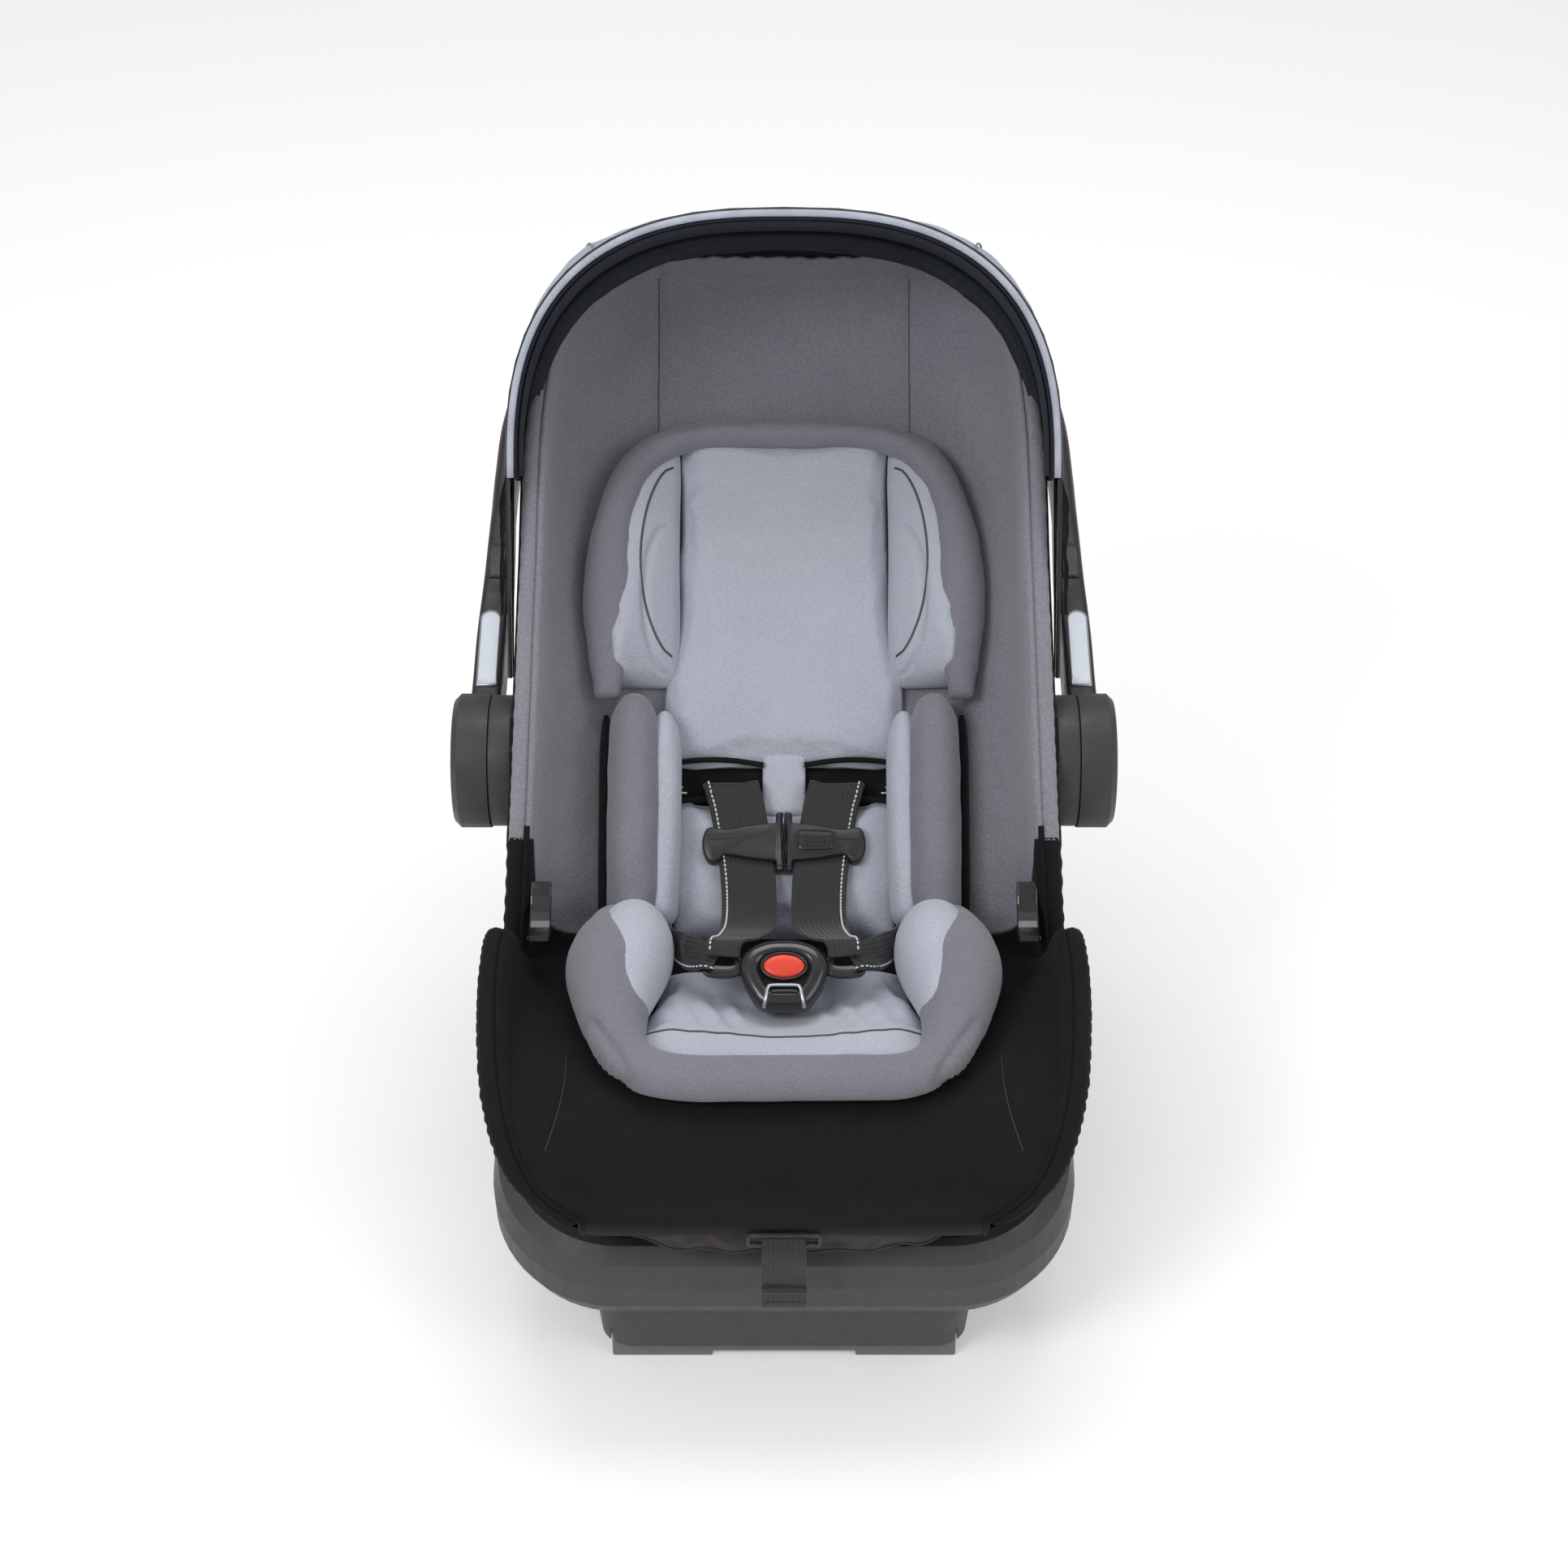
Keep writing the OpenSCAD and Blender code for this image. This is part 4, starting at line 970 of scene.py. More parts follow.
def back_bolsters():
    """The rolls beside the back, their pale inner faces and the black mesh outside them."""
    steps = 26
    bolster = straight_roll("back_bolster_left", 5.2, 7.22, (-101, -101), 29,
                            [17 + 1.5 * math.sin(math.pi * t) for t in spread(0, 1, steps)], 0.45, 25,
                            GREY_KNIT, "grey_knit", ["insert_bolster_left"])
    inflate(bolster, 3.5)
    wrinkled(bolster, 0.8, 28, 24)
    padded_pair(bolster, "insert_bolster_right")
    face = straight_roll("bolster_face_left", 5.2, 7.12, (-84, -81), 26, [12.0] * steps, 0.3, 22, PALE_KNIT,
                         "pale_knit")
    inflate(face, 2.0, pressure=3.0)
    padded_pair(face)
    mirrored(straight_roll("bolster_gusset_left", 5.1, 7.1, (-121, -121), 9, [4.5] * steps, 0.4, 9,
                           BLACK_MESH, "black_fabric"))


def insert():
    pillow()
    crowned("back_pad", 6.74, 9.2, lambda t: mix(86, 76, smoothstep(0.2, 0.5, t)),
            lambda t, share: 15 + 2 * math.sin(math.pi * t), "insert_upper_pad", 22)
    crowned("lumbar_pad", 5.12, 6.56, lambda t: 78, lambda t, share: 15, "insert_lower_pad", 23)
    wings()
    back_bolsters()
    seat_cushion()
    seat_bolster()


def seat_cushion():
    def thick(t, share):
        well = bell(share * 76, 34) * bell((t - 0.5) / 0.34, 1.0)
        fold = 2.2 * bell(t - 0.2, 0.07) - 1.4 * bell(t - 0.33, 0.05)
        return 19 - 11 * well + fold
    made = crowned("seat_pad", 2.3, 4.36, lambda t: mix(104, 88, smoothstep(0.1, 0.7, t)), thick,
                   "seat_cushion", 25, rows=40, columns=41)

    def gathers(p, n):
        near = bell(p.y + 165, 26) * smoothstep(14, 40, abs(p.x)) * bell(p.x, 66)
        return n * near * (2.6 * math.sin(p.x * 0.35 + p.y * 0.12) + 1.6 * moved(p, 9, 26))
    reshape(made, gathers)
    # painted shade: the cushion's front seam is real, but its dark tube stands for the shade in the seam's
    # fold
    tree = skin_of(made)
    front = [onto(tree, 2.66 + 0.1 * (x / 96) ** 2, x, 70) for x in spread(-96, 96, 70)]
    tube("cushion_front_seam", front, 0.8, *PALE_PAD_SEAM_SHADE, 8)


def seat_bolster():
    """The thick roll round the seat pad, and its pale inner faces by the ears."""
    steps = 64
    path, tall = [], []
    for v in spread(-90, 90, steps):
        qx, qd = quarter(abs(v), 6)
        path.append((mix(5.0, 2.08, qd), sign(v) * EAR_X * qx))
        tall.append(mix(15, 35, smoothstep(2.08, 3.98, path[-1][0])))
    across = rounded_ends([mix(15, 36, (t - 15) / 20) for t in tall], 0.5)
    made = loft_piece("seat_bolster_roll", roll_rings(path, [t + 5 for t in tall], across,
                      rounded_ends(tall, 0.6)), *GREY_PAD, ["seat_bolster"])
    inflate(made, 4.0)

    def shape(p, n):
        mitre = bell((abs(p.x) - 106) - (p.y + 232) * 0.55, 3.2) * smoothstep(-196, -206, p.y)
        pleats = bell(abs(p.x) - 106, 16) * bell(p.y + 226, 16) * math.sin((abs(p.x) + p.y) * 0.7)
        return n * (0.9 * moved(p, 30, 27) - 2.6 * mitre + 0.8 * pleats)
    reshape(made, shape)
    path, wide, high, lifts = [], [], [], []
    for t in spread(0, 1, 34):
        s = mix(2.42, 4.9, t)
        ear = EAR_X * (1 - ((5 - s) / 2.92) ** 6) ** (1 / 6)
        up = mix(15, 35, smoothstep(2.08, 3.98, s))
        out = mix(15, 36, (up - 15) / 20)
        bulge = max(0.12, math.sin(math.pi * t) ** 0.42)
        path.append((s, -(ear - 0.36 * out)))
        wide.append(0.78 * out * bulge)
        high.append(0.99 * up * bulge)
        lifts.append(up + 7.5)
    face = loft_piece("ear_face_left", roll_rings(path, lifts, wide, high), *PALE_PAD)
    inflate(face, 2.0, voxel=3.5, pressure=3.0)
    padded_pair(face)


# ---- harness -----------------------------------------------------------------------
WEB_W = 36
CLIP_AT, CLIP_TILT = (0, -16, -57), 37.9
BUCKLE_AT, BUCKLE_TILT = (0, -148, -66), 30


def tilted(at, tilt):
    """Carries points from a fitting's own frame to millimetres from the hub."""
    turn = Matrix.Rotation(math.radians(tilt), 3, "X")
    return lambda p: turn @ Vector(p) + Vector(at)


on_clip = tilted(CLIP_AT, CLIP_TILT)
on_buckle = tilted(BUCKLE_AT, BUCKLE_TILT)


def rounded(points, k):
    """A closed smooth outline through a few points, with k steps between two of them."""
    count = len(points)
    made = []
    for i in range(count):
        a, b, c, d = (points[(i + j - 1) % count] for j in range(4))
        made += [tuple(spline4(a[m], b[m], c[m], d[m], t / k) for m in range(2)) for t in range(k)]
    return made


def domed(name, outline, layers, place, mat, body, slot, replaces=()):
    """A solid of one outline, scaled by a share about its middle at each height."""
    mx = sum(p[0] for p in outline) / len(outline)
    my = sum(p[1] for p in outline) / len(outline)
    rings = [[place((mx + (x - mx) * share, my + (y - my) * share, z)) for x, y in outline]
             for z, share in layers]
    return loft_piece(name, rings, mat, body, slot, replaces)


def slab(name, outline, layers, place, mat, body, slot, replaces):
    """A moulded plate of any outline: each layer is a height and how far its edge is drawn in."""
    count = len(outline)
    following = outline[1:] + outline[:1]
    turn = sum(x * after[1] - after[0] * y for (x, y), after in zip(outline, following))
    rings = []
    for z, inset in layers:
        ring = []
        for i in range(count):
            (x0, y0), (x1, y1) = outline[(i - 1) % count], outline[(i + 1) % count]
            n = Vector((y0 - y1, x1 - x0)).normalized() * (1 if turn > 0 else -1) * inset
            ring.append(place((outline[i][0] + n.x, outline[i][1] + n.y, z)))
        rings.append(ring)
    faces = grid_faces(len(rings), count, True)
    faces += [tuple(range(count))[::-1], tuple((len(rings) - 1) * count + k for k in range(count))]
    if turn < 0:
        faces = [f[::-1] for f in faces]
    return piece(name, [p for ring in rings for p in ring], faces, mat, body, slot, replaces)


def shoulder_path(side):
    """A shoulder strap's way: from behind its slot, over the chest and in to the buckle."""
    slot = seat_x(SLOT_S, 0, 0)
    points = [(30, 2, -128), (34, 30, -104), (37, slot.y + 22, slot.z - 22), (37, slot.y, slot.z),
              (36.5, slot.y - 14, slot.z + 15), (33, 8, -38), (29, -8, -51), (25.5, -26, -65),
              (23.5, -50, -76), (24, -84, -75), (30, -112, -63), (38, -130, -53), (39.5, -139, -58)]
    return smooth([(side * x, y, z) for x, y, z in points], 8)


def harness():
    for side, word in SIDES:
        path = shoulder_path(side)
        last = len(path) - 1
        widths = [mix(WEB_W + 1, 22, smoothstep(last - 26, last - 4, i)) for i in range(last + 1)]
        ribbon("shoulder_webbing_" + word, path, widths, 1.8, *STRAP,
               replaces=["shoulder_strap_" + word], crease=0.5)
        line = edge_path(path, widths, side * 0.8, -1.3)[25:-3]
        stitches("shoulder_stitch_" + word, line, *STRAP_STITCH, gap=0.7, width=1.5,
                 up_hint=Vector((0, -0.6, 0.8)))
        hip = smooth([(side * 84, -76, -92), (side * 76, -92, -82), (side * 68, -112, -73),
                      (side * 60, -126, -66), (side * 52, -134, -62), (side * 44, -138, -61)], 8)
        across = Vector((side * 0.35, 1, 0.15))
        widths = [26 - 6 * i / (len(hip) - 1) for i in range(len(hip))]
        ribbon("hip_webbing_" + word, hip, widths, 1.8, *STRAP, across, ["hip_strap_" + word], crease=2.2)
        stitches("hip_stitch_" + word, edge_path(hip, 22, -0.8, 1.8 * side, across), *STRAP_STITCH, width=1.2)
        tongue(side, word)
    foot = seat_x(3.55, 0, 0)
    crotch = smooth([(0, foot.y, foot.z - 22), (0, foot.y, foot.z + 4), (0, foot.y - 4, foot.z + 18),
                     (0, -160, -86), (0, -165, -75)], 6)
    ribbon("crotch_webbing", crotch, 29, 2.0, *STRAP, replaces=["crotch_strap"])
    pull = smooth([(0, -26, -149), (0, -60, -151), (0, -130, -150), (0, -200, -141), (0, -268, -138),
                   (0, -298, -146), (0, -310, -157), (0, -312, -178), (0, -313, -200)], 8)
    ribbon("adjuster_webbing", pull, 28, 1.6, *STRAP, replaces=["adjuster_strap"],
           crease=0.8)
    tail = pull[-7:]
    doubled = [p + Vector((0, -1.6, 0)) for p in tail]
    ribbon("adjuster_tail_fold", doubled, 28.6, 1.6, *STRAP)
    for row in (1, 4):
        ends = [doubled[row] + Vector((x, -1.1, 0)) for x in (-12, 12)]
        stitches("adjuster_tail_stitch_%d" % row, spread_line(*ends, 12), GREY_THREAD_AND_SEAM_SHADE, "carrier",
                 "black_webbing", up_hint=Vector((0, -1, 0)))
    frame_outline = [(sign(x) * 22 * abs(x), -309.5 + 3.5 * abs(x), z) for x, z in
                     ((-1, -147), (1, -147), (1, -155), (-1, -155))]
    path = [Vector(frame_outline[i]).lerp(Vector(frame_outline[(i + 1) % 4]), t / 6)
            for i in range(4) for t in range(6)]
    looped_tube("adjuster_slot_frame", path, 1.7, DARK_PLASTIC, "carrier", "dark_plastic", 8)
    slots()
    pad_bridge()


def spread_line(a, b, count):
    return [a.lerp(b, i / (count - 1)) for i in range(count)]


def slots():
    """Bound slots that the shoulder straps come out of, and the small metal stays behind them."""
    for side, word in SIDES:
        rows = [[seat_x(s, side * x, -8.5 + 5 * abs(v)) for x in spread(13, 79, 30)]
                for v, s in ((-1, 6.5), (-0.4, 6.57), (0.4, 6.7), (1, 6.8))]
        sheet_piece("slot_mouth_" + word, rows, 0.8, *BLACK_TRIM)
        for low, tall in ((6.53, 12.5), (6.78, 14.5)):
            lip = [seat_x(low + 0.03 * math.sin(math.pi * t), side * mix(14, 78, t),
                          -tall - 1.5 * math.sin(3 * t)) for t in spread(0, 1, 26)]
            tube("slot_binding_%s_%d" % (word, low * 100), lip, 2.0, *BLACK_TRIM, 10)
        for k in range(3):
            spot = seat_x(6.6 + 0.035 * k, side * (66 + 3 * k), -10.5)
            stay = spread_line(spot, spot + Vector((side * 6, 0, 0)), 4)
            tube("slot_stay_%s_%d" % (word, k), stay, 0.9, *METAL, 8)


def pad_bridge():
    """The pale strip of the pad that runs on between the two slots."""
    rows = [[seat_x(s, x, -11.5 - 1.5 * (1 - (x / 15) ** 2)) for x in spread(-14.5, 14.5, 12)]
            for s in spread(6.46, 6.86, 10)]
    sheet_piece("pad_bridge", rows, 1.2, *PALE_PAD)


def tongue(side, word):
    """A buckle tongue: a moulded loop for the webbing and a steel blade."""
    outline = rounded([(29, 1), (40, -1), (51, 1), (52.5, 9), (50, 17), (40, 19.5), (30, 17), (28.5, 9)], 5)
    inner = [(40 + (x - 40) * 0.66, 11.5 + (y - 9) * 0.42) for x, y in outline]

    def ring(points, z):
        return [on_buckle((side * x, y, z)) for x, y in points]
    middle = [(40 + (x - 40) * 1.04, y) for x, y in outline]
    rings = [ring(inner, -5.4), ring(outline, -5.8), ring(middle, -3.5), ring(outline, -1.4),
             ring(inner, -1.8)]
    faces = grid_faces(len(rings), len(outline), True, True)
    if side < 0:
        faces = [f[::-1] for f in faces]
    loop = piece("tongue_loop_" + word, [p for r in rings for p in r], faces, *GLOSSY,
                 ["buckle_tongue_" + word])
    modifier(loop, "BEVEL", width=0.5 * MM, segments=2, limit_method="ANGLE")
    blade = [(18, 3), (30, 3), (30, 13.5), (18, 13.5)]
    domed("tongue_blade_" + word, [(side * x, y) for x, y in rounded(blade, 3)],
          [(-4.6, 0.97), (-4.2, 1), (-2.6, 1), (-2.2, 0.97)], on_buckle, *METAL)


def buckle():
    shape = rounded([(0, -24), (14, -23), (22, -14), (28, -1), (29, 8), (24, 17), (12, 22.5), (0, 23.5),
                     (-12, 22.5), (-24, 17), (-29, 8), (-28, -1), (-22, -14), (-14, -23)], 5)
    domed("buckle_case", shape, [(-8.2, 0.9), (-8, 0.95), (-6.5, 1.0), (-1.2, 1.0), (1.5, 0.98), (3.6, 0.92),
          (4.8, 0.82), (5.2, 0.7), (5.2, 0.62), (3.8, 0.6)], on_buckle, *GLOSSY,
          ["buckle_body"])
    turns = spread(0, math.tau, 49)[:-1]
    oval = [(13.4 * math.cos(t), 4 + 7.9 * math.sin(t)) for t in turns]
    domed("press_button", oval, [(2.6, 1), (4.6, 1.0), (5.6, 0.97), (6.2, 0.88), (6.5, 0.7), (6.6, 0.4)],
          on_buckle, RED_PLASTIC, "buckle_button", "red_button", ["buckle_button"])
    rim_path = [on_buckle((14.6 * math.cos(t), 4 + 9.1 * math.sin(t), 4.9)) for t in turns]
    looped_tube("button_surround", rim_path, 0.9, *GLOSSY, 8)
    leg = [(13, -23.5, 1.5), (12, -19, 4.6), (10.5, -11.5, 5.6), (8, -9.8, 5.7)]
    arch_line = [(-x, y, z) for x, y, z in leg] + [(0, -9.6, 5.8)] + leg[::-1]
    u_frame = smooth([on_buckle(p) for p in arch_line], 5)
    tube("strap_frame", u_frame, 1.3, *METAL, 10)
    bar = [on_buckle((x, -13.6, 5.0)) for x in spread(-9, 9, 6)]
    tube("strap_bar", bar, 1.5, *GLOSSY, 10)


def clip_outline(side):
    """One half of the chest clip, from its wavy inner edge outwards."""
    edge = [(0.5 + 0.5 * math.sin(y * 0.3) * side, y) for y in spread(-20.8, 20.8, 14)]
    rest = smooth([(1.5, 20.8), (4.4, 20.8), (5.4, 19), (5.6, 15), (6.6, 13.4), (14, 13), (26, 11.4),
                   (38, 9.2), (46, 10), (52, 9.6), (55, 3), (55, -5), (52, -12.5), (47.5, -14.8),
                   (43.5, -12), (41, -9.4), (36, -9.6), (26, -11.4), (14, -13), (6.6, -13.4), (5.6, -15),
                   (5.4, -19), (4.4, -20.8), (1.5, -20.8)], 4)
    return [(side * x, y) for x, y in edge + [tuple(p) for p in rest]]


def chest_clip():
    for side, word in SIDES:
        slab("clip_half_" + word, clip_outline(side), [(-4.6, 1.0), (-4.2, 0.3), (-3.5, 0), (2.6, 0),
             (3.6, 0.25), (4.2, 0.7), (4.6, 1.4)], on_clip, *CLIP,
             ["chest_clip_" + word])
        for y in (-17, 17):
            ridge = [on_clip((side * x, y, 4.3)) for x in spread(1.5, 4.2, 4)]
            tube("clip_tab_ridge_%s_%d" % (word, y + 17), ridge, 0.8, *CLIP, 8)
        sweep = [on_clip((side * x, 5.5 - 0.09 * x, 4.55)) for x in spread(34, 50, 10)]
        tube("clip_line_" + word, sweep, 0.45, *CLIP, 6)
    button = rounded([(10.5, -6), (21.5, -6.4), (32.5, -5.4), (33.5, 0), (32.5, 5.4), (21.5, 6.4), (10.5, 6),
                      (9.5, 0)], 5)
    domed("clip_button", button, [(3.2, 0.98), (4.8, 0.98), (5.3, 0.93), (5.5, 0.84)], on_clip,
          *CLIP_BUTTON, ["chest_clip_button"])
    for k in range(3):
        ridge = [on_clip((x, 2.6 - 2.6 * k, 5.5)) for x in spread(15, 28, 6)]
        tube("clip_button_ridge_%d" % k, ridge, 0.4, *CLIP_BUTTON, 6)
    groove = [on_clip((21.5 + (x - 21.5) * 1.09, y * 1.2, 4.5)) for x, y in button]
    looped_tube("clip_button_rim", groove, 0.55, *CLIP, 6)


# ---- canopy ------------------------------------------------------------------------
# The bows' half width and reach, where their legs begin, and how square their arch is.
CANOPY_X, CANOPY_R, CANOPY_END, CANOPY_N = 180.5, 362, 190, 2.65
BOW_LEAN, PANEL_DEG = 25, 11          # the front bow's lean back, and the front panel's angle
REAR_LEAN = BOW_LEAN + PANEL_DEG + 1.8


def arch(a, x, top):
    """A bow's place across and its reach from the axis, at an angle from -90 to 90."""
    qx, qd = quarter(abs(a), CANOPY_N)
    return sign(a) * x * qx, CANOPY_END + (top - CANOPY_END) * qd


def leaning(x, reach, lean):
    t = math.radians(lean)
    return Vector((x, reach * math.sin(t), reach * math.cos(t)))


ARCH_ANGLES = spread(-90, 90, 140)


def canopy_sheet(name, grow, leans, mat, body, slot, replaces=(), billow=0.0, seed=30):
    """Canopy cloth from one lean to another, so far out from the bows, made as a thickened sheet."""
    x, top = CANOPY_X + grow, CANOPY_R + grow
    rows = []
    for v in spread(0, 1, 24):
        row = []
        for a in ARCH_ANGLES:
            slack = math.sin(math.pi * v)
            swell = billow * slack + 0.7 * slack * moved((a * 3, v * 60, 0), 26, seed)
            px, reach = arch(a, x + swell, top + swell)
            row.append(leaning(px, reach, mix(*leans, v)))
        rows.append(row)
    obj = sheet_piece(name, rows, 0.9, mat, body, slot, replaces)


FOLDS, FOLD_DEPTH, BUNCH_HALF = 16, 14.5, 1.3


def pleats(name, lean, mat, a, b, grow, slot):
    """A bunch of folds at a lean, made on body a and then let go of it, so it rides on no body; b is not
    used.
    """
    tangent = Vector((0, math.cos(math.radians(lean)), -math.sin(math.radians(lean))))
    rows = []
    for j in range(FOLDS + 1):
        dip = FOLD_DEPTH if j % 2 else 0.0
        row = []
        for angle in ARCH_ANGLES:
            full = arch(angle, CANOPY_X, CANOPY_R)[1] / CANOPY_R
            own = dip * full * (1 + 0.2 * moved((angle, j * 9, 0), 12, 33))
            px, reach = arch(angle, CANOPY_X + grow - own, CANOPY_R + grow - own)
            row.append(leaning(px, reach, lean) + tangent * mix(BUNCH_HALF, -BUNCH_HALF, j / FOLDS))
        rows.append(row)
    obj = sheet_piece(name, rows, 0.1, mat, a, slot)
    settled(obj)
    obj.parent = None
    obj.matrix_world = Matrix.Identity(4)
    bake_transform(obj)


def curve3(a, b, c, k):
    """A point of the curve from a to c that b pulls out."""
    return Vector(a).lerp(Vector(b), k).lerp(Vector(b).lerp(Vector(c), k), k)


def rear_point(k, a, out):
    """The fixed rear canopy, at a share k from the bows to its lower edge and an angle a."""
    n = mix(CANOPY_N, 3.3, min(1, k * 2.4))
    qx, qd = quarter(abs(a), n)
    way = Vector((math.sin(math.radians(REAR_LEAN)), math.cos(math.radians(REAR_LEAN))))
    low = curve3(way * CANOPY_END, (165, 168), (196, 104), k)
    top = curve3(way * (CANOPY_R - 3 + out), (326 + out, 290 + out), (296 + out, 146 - out), k)
    yz = low.lerp(top, qd)
    return Vector((sign(a) * (mix(179, 183, min(1, 2 * k)) + out) * qx, yz.x, yz.y))


def canopy():
    panel_end = BOW_LEAN + PANEL_DEG
    canopy_sheet("canopy_front_cloth", 0.6, (BOW_LEAN - 0.5, panel_end), CANOPY_CLOTH, "canopy_front",
                 "canopy_fabric", ["canopy_front_panel"], billow=1.5)
    canopy_sheet("canopy_front_lining", -1.4, (BOW_LEAN - 0.2, panel_end), LINING_CLOTH, "canopy_front",
                 "canopy_lining", seed=31)
    canopy_sheet("canopy_mid_lining", -4.5, (BOW_LEAN + 1.5, panel_end + 0.4), LINING_CLOTH, "canopy_mid",
                 "canopy_lining", ["canopy_mid_panel"], billow=-1.5, seed=32)
    for part, lean, bodies in (("rear", 1.4, ("carrier", "canopy_mid")),
                               ("front", 0.5, ("canopy_mid", "canopy_front"))):
        at = BOW_LEAN + PANEL_DEG + lean
        pleats("canopy_%s_folds" % part, at, LINING_CLOTH, *bodies, -1.8, "canopy_lining")
        pleats("canopy_%s_outer_folds" % part, at, CANOPY_CLOTH, *bodies, -0.4, "canopy_fabric")
    for name, mat, radius, grow, lean in (("canopy_binding", BINDING, 2.3, 0.4, BOW_LEAN - 0.7),
                                          ("canopy_piping", LINING_CLOTH, 1.5, -2.6, BOW_LEAN - 0.2),
                                          ("canopy_back_binding", LINING_CLOTH, 1.2, 0.3,
                                           BOW_LEAN + PANEL_DEG - 0.1)):
        path = [leaning(*arch(a, CANOPY_X + grow, CANOPY_R + grow), lean) for a in ARCH_ANGLES]
        tube(name, path, radius, mat, "canopy_front", "canopy_fabric", 10)
    line = [leaning(*arch(a, CANOPY_X + 2.2, CANOPY_R + 2.2), BOW_LEAN + 1.2) for a in ARCH_ANGLES]
    stitches("canopy_stitching", line, PALE_THREAD, "canopy_front", "canopy_fabric", length=3, gap=1.6)


def rear_canopy():
    def creased(k, a):
        bare = rear_point(k, a, 0)
        crease = moved(bare, 34, 35) + 0.4 * moved(bare, 13, 36)
        return rear_point(k, a, 0.2 + 2.0 * crease * smoothstep(0, 0.15, k))
    rear = [[creased(k, a) for a in ARCH_ANGLES] for k in spread(0, 1, 60)]
    back = sheet_piece("canopy_rear_cloth", rear, 1.0, *REAR_CLOTH, ["canopy_rear"],
                       offset=-1.0)
    lower = [p + Vector((0, 0, 0.9 * math.sin(i * 1.9))) for i, p in enumerate(rear[-1])]
    tube("canopy_elastic", lower, 2.6, *REAR_CLOTH, 10)
    for a, word in ((-38, "left"), (38, "right")):
        seam = [rear_point(k, a, 1.6) for k in spread(0.02, 0.98, 50)]
        tube("canopy_rear_seam_" + word, seam, 0.8, PALE_THREAD, "carrier", "canopy_fabric", 8)
    for end, word in ((0, "left"), (-1, "right")):
        tube("canopy_side_edge_" + word, [row[end] for row in rear], 2.0, *BLACK_TRIM, 10)


def drapes():
    """The crumpled black corners that hang from the canopy down to the hubs."""
    for side, word in SIDES:
        rows = []
        for v in spread(0, 1, 46):
            row = []
            front = curve3((82, 180), (62, 132), (40, 90), v)
            back = curve3((120, 158), (92, 112), (58, 80), v)
            for h in spread(0, 1, 34):
                y, z = mix(front.x, back.x, h), mix(front.y, back.y, h)
                fold = 1.2 * moved((y, z, side * 9), 15, 41) + 0.7 * moved((y, z, 0), 7, 42)
                out = mix(183.4, 188.4, smoothstep(0, 0.3, v)) + clamp(fold, -1.3, 1.6)
                row.append(Vector((side * out, y, z)))
            rows.append(row if side < 0 else row[::-1])
        cloth = sheet_piece("canopy_corner_" + word, rows, 0.8, *BLACK_TRIM)


# ---- handle ------------------------------------------------------------------------
HANDLE_LEAN = 72
# Half the handle's outer line, as places across and reaches from the axis, from one end to the middle.
HANDLE_LINE = [(212, 38), (211.5, 60), (211, 100), (209, 150), (208, 200), (207, 250),
               (204, 302), (194, 346), (171, 386), (124, 413), (66, 423), (0, 425)]


def in_handle(p):
    """From the handle's own plane (across, square to it, reach) to millimetres from the hub."""
    return Matrix.Rotation(math.radians(-HANDLE_LEAN), 3, "X") @ Vector(p)


def handle_path(k):
    half = smooth(HANDLE_LINE, k)
    return [Vector((-p.x, p.y)) for p in half] + [p.copy() for p in half[-2::-1]]


def handle_rings(path, out, half_t, half_w, swell, foot=0.0):
    """Rounded sections along the handle; foot is how much thicker and squarer its ends are."""
    rings = []
    for i, p in enumerate(path):
        go = heading(path, i)
        inward = Vector((go.y, -go.x))
        near = foot and 1 - clamp((p.length - 240) / 60)
        ht = half_t + foot * near
        m = mix(3, 7, near)
        c = p + inward * (ht - out)
        ring = []
        for k in range(HANDLE_SIDES):
            t = math.tau * (k + 0.5) / HANDLE_SIDES
            grow = swell(i, t)
            x = sign(math.cos(t)) * (ht + grow) * abs(math.cos(t)) ** (2 / m)
            y = sign(math.sin(t)) * (half_w + grow) * abs(math.sin(t)) ** (2 / m)
            q = c - inward * x
            ring.append(in_handle((q.x, y, q.y)))
        rings.append(ring)
    return rings


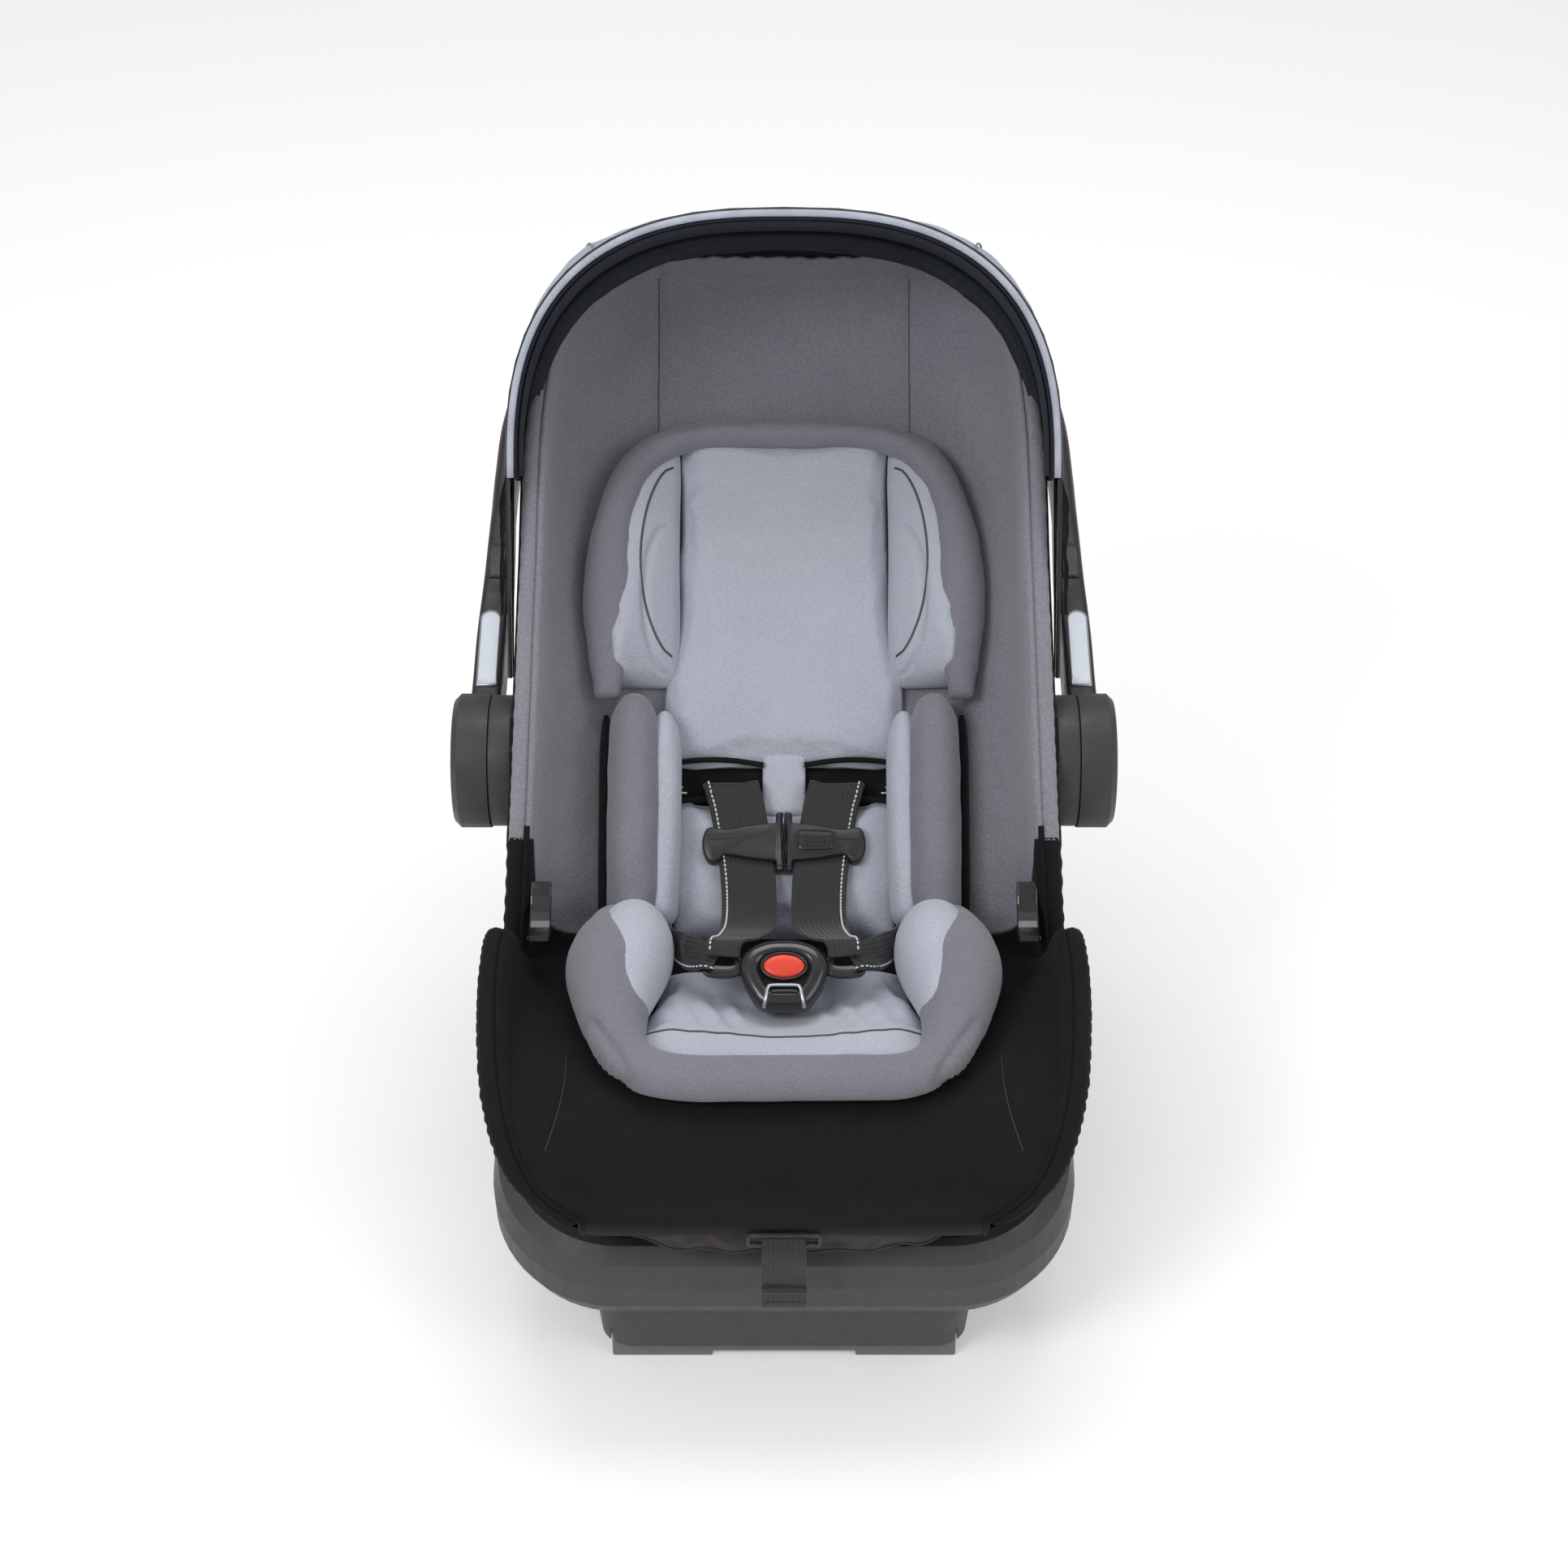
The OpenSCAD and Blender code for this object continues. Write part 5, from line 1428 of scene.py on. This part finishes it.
def handle():
    def parting(i, t):
        """A fine line where the two halves of the moulding meet."""
        return -0.7 * bell(math.sin(t), 0.07)
    path = handle_path(12)
    loft_piece("handle_arch", handle_rings(path, 0, 8.5, 17, parting, foot=2), SHELL_PLASTIC, "handle",
               "shell_plastic", ["handle_bar"])
    grip = [p for p in path if abs(p.x) < 116 and p.y > 300]

    def ribs(i, t):
        edge = min(i, len(grip) - 1 - i)
        return (-1.8 if edge == 0 else 0.0) + 0.45 * math.sin(i * math.pi / 2) * smoothstep(2, 6, edge)
    loft_piece("grip_sleeve", handle_rings(grip, 2.4, 10.9, 19.4, ribs), RUBBER, "handle", "grip_rubber",
               ["handle_grip"])
    for side, word in SIDES:
        pad = rounded([(-6, 148), (0, 146.5), (6, 148), (6.6, 162), (6, 176), (0, 177.5), (-6, 176),
                       (-6.6, 162)], 4)
        pad = [(x + side * 199.5, reach) for x, reach in pad]
        domed("handle_pad_" + word, pad, [(0, 1), (1.4, 0.98), (1.9, 0.9), (2.0, 0.7)],
              lambda p: in_handle((p[0], -16.6 - p[2], p[1])), DARK_PLASTIC, "handle", "dark_plastic")
        shape = [(7.2 * math.cos(t), 110 + 7.2 * math.sin(t)) for t in spread(0, math.pi, 15)]
        shape += [(-7.2, 51), (-6.6, 50), (6.6, 50), (7.2, 51)]
        shape = [(x + side * 201.4, reach) for x, reach in shape]
        domed("arm_insert_" + word, shape, [(0, 1), (1.5, 1), (2.0, 0.96), (2.1, 0.8)],
              lambda p: in_handle((p[0], -16.2 - p[2], p[1])), SILVER, "handle", "silver",
              ["handle_insert_" + word])


# ---- CAD nodes that stay -------------------------------------------------------------
def dressed(name, mat, bevel):
    """A CAD node with its own finish and softened edges."""
    obj = NODES[name]
    obj.data.materials.clear()
    obj.data.materials.append(mat)
    modifier(obj, "WELD", merge_threshold=0.02 * MM)
    if bevel:
        modifier(obj, "BEVEL", width=bevel * MM, segments=3, limit_method="ANGLE",
                 angle_limit=math.radians(35), harden_normals=False)


def hard_parts():
    """Each remaining node with its material and its edges' bevel in millimetres."""
    for name, mat, bevel in (
            ("base_tray", BASE_PLASTIC, 1.6), ("anchor_saddles", DARK_PLASTIC, 0.8),
            ("level_window", WINDOW, 0.8), ("latch_belt", WEBBING_PLAIN, 0.3),
            ("latch_connectors", DARK_PLASTIC, 1.2), ("latch_adjuster", STEEL, 0.5),
            ("level_foot", FOOT_PLASTIC, 1.5), ("carrier_shell", SHELL_PLASTIC, 0),
            ("rocker_rail_left", SHELL_PLASTIC, 1.5), ("rocker_rail_right", SHELL_PLASTIC, 1.5),
            ("anchor_bars", STEEL, 0.6), ("foam_liner", FOAM, 0), ("harness_yoke", STEEL, 0.5),
            ("adjuster_housing", DARK_PLASTIC, 0.8), ("hub_housing_left", HUB_PLASTIC, 1.0),
            ("hub_housing_right", HUB_PLASTIC, 1.0), ("hub_axles", STEEL, 0.5),
            ("belt_guide_left", GLOSS_BLACK, 1.2), ("belt_guide_right", GLOSS_BLACK, 1.2),
            ("shell_screws", STEEL, 0.4), ("adjuster_lever", STEEL, 0.4),
            ("handle_hub_left", HUB_PLASTIC, 1.6), ("handle_hub_right", HUB_PLASTIC, 1.6),
            ("handle_button_left", BUTTON_PLASTIC, 0.8), ("handle_button_right", BUTTON_PLASTIC, 0.8),
            ("canopy_mid_bow", GLOSS_BLACK, 0), ("canopy_front_bow", GLOSS_BLACK, 0),
            ("release_handle", BUTTON_PLASTIC, 2.0)):
        dressed(name, mat, bevel)


covers()
skirt()
insert()
harness()
buckle()
chest_clip()
canopy()
rear_canopy()
drapes()
handle()
hard_parts()
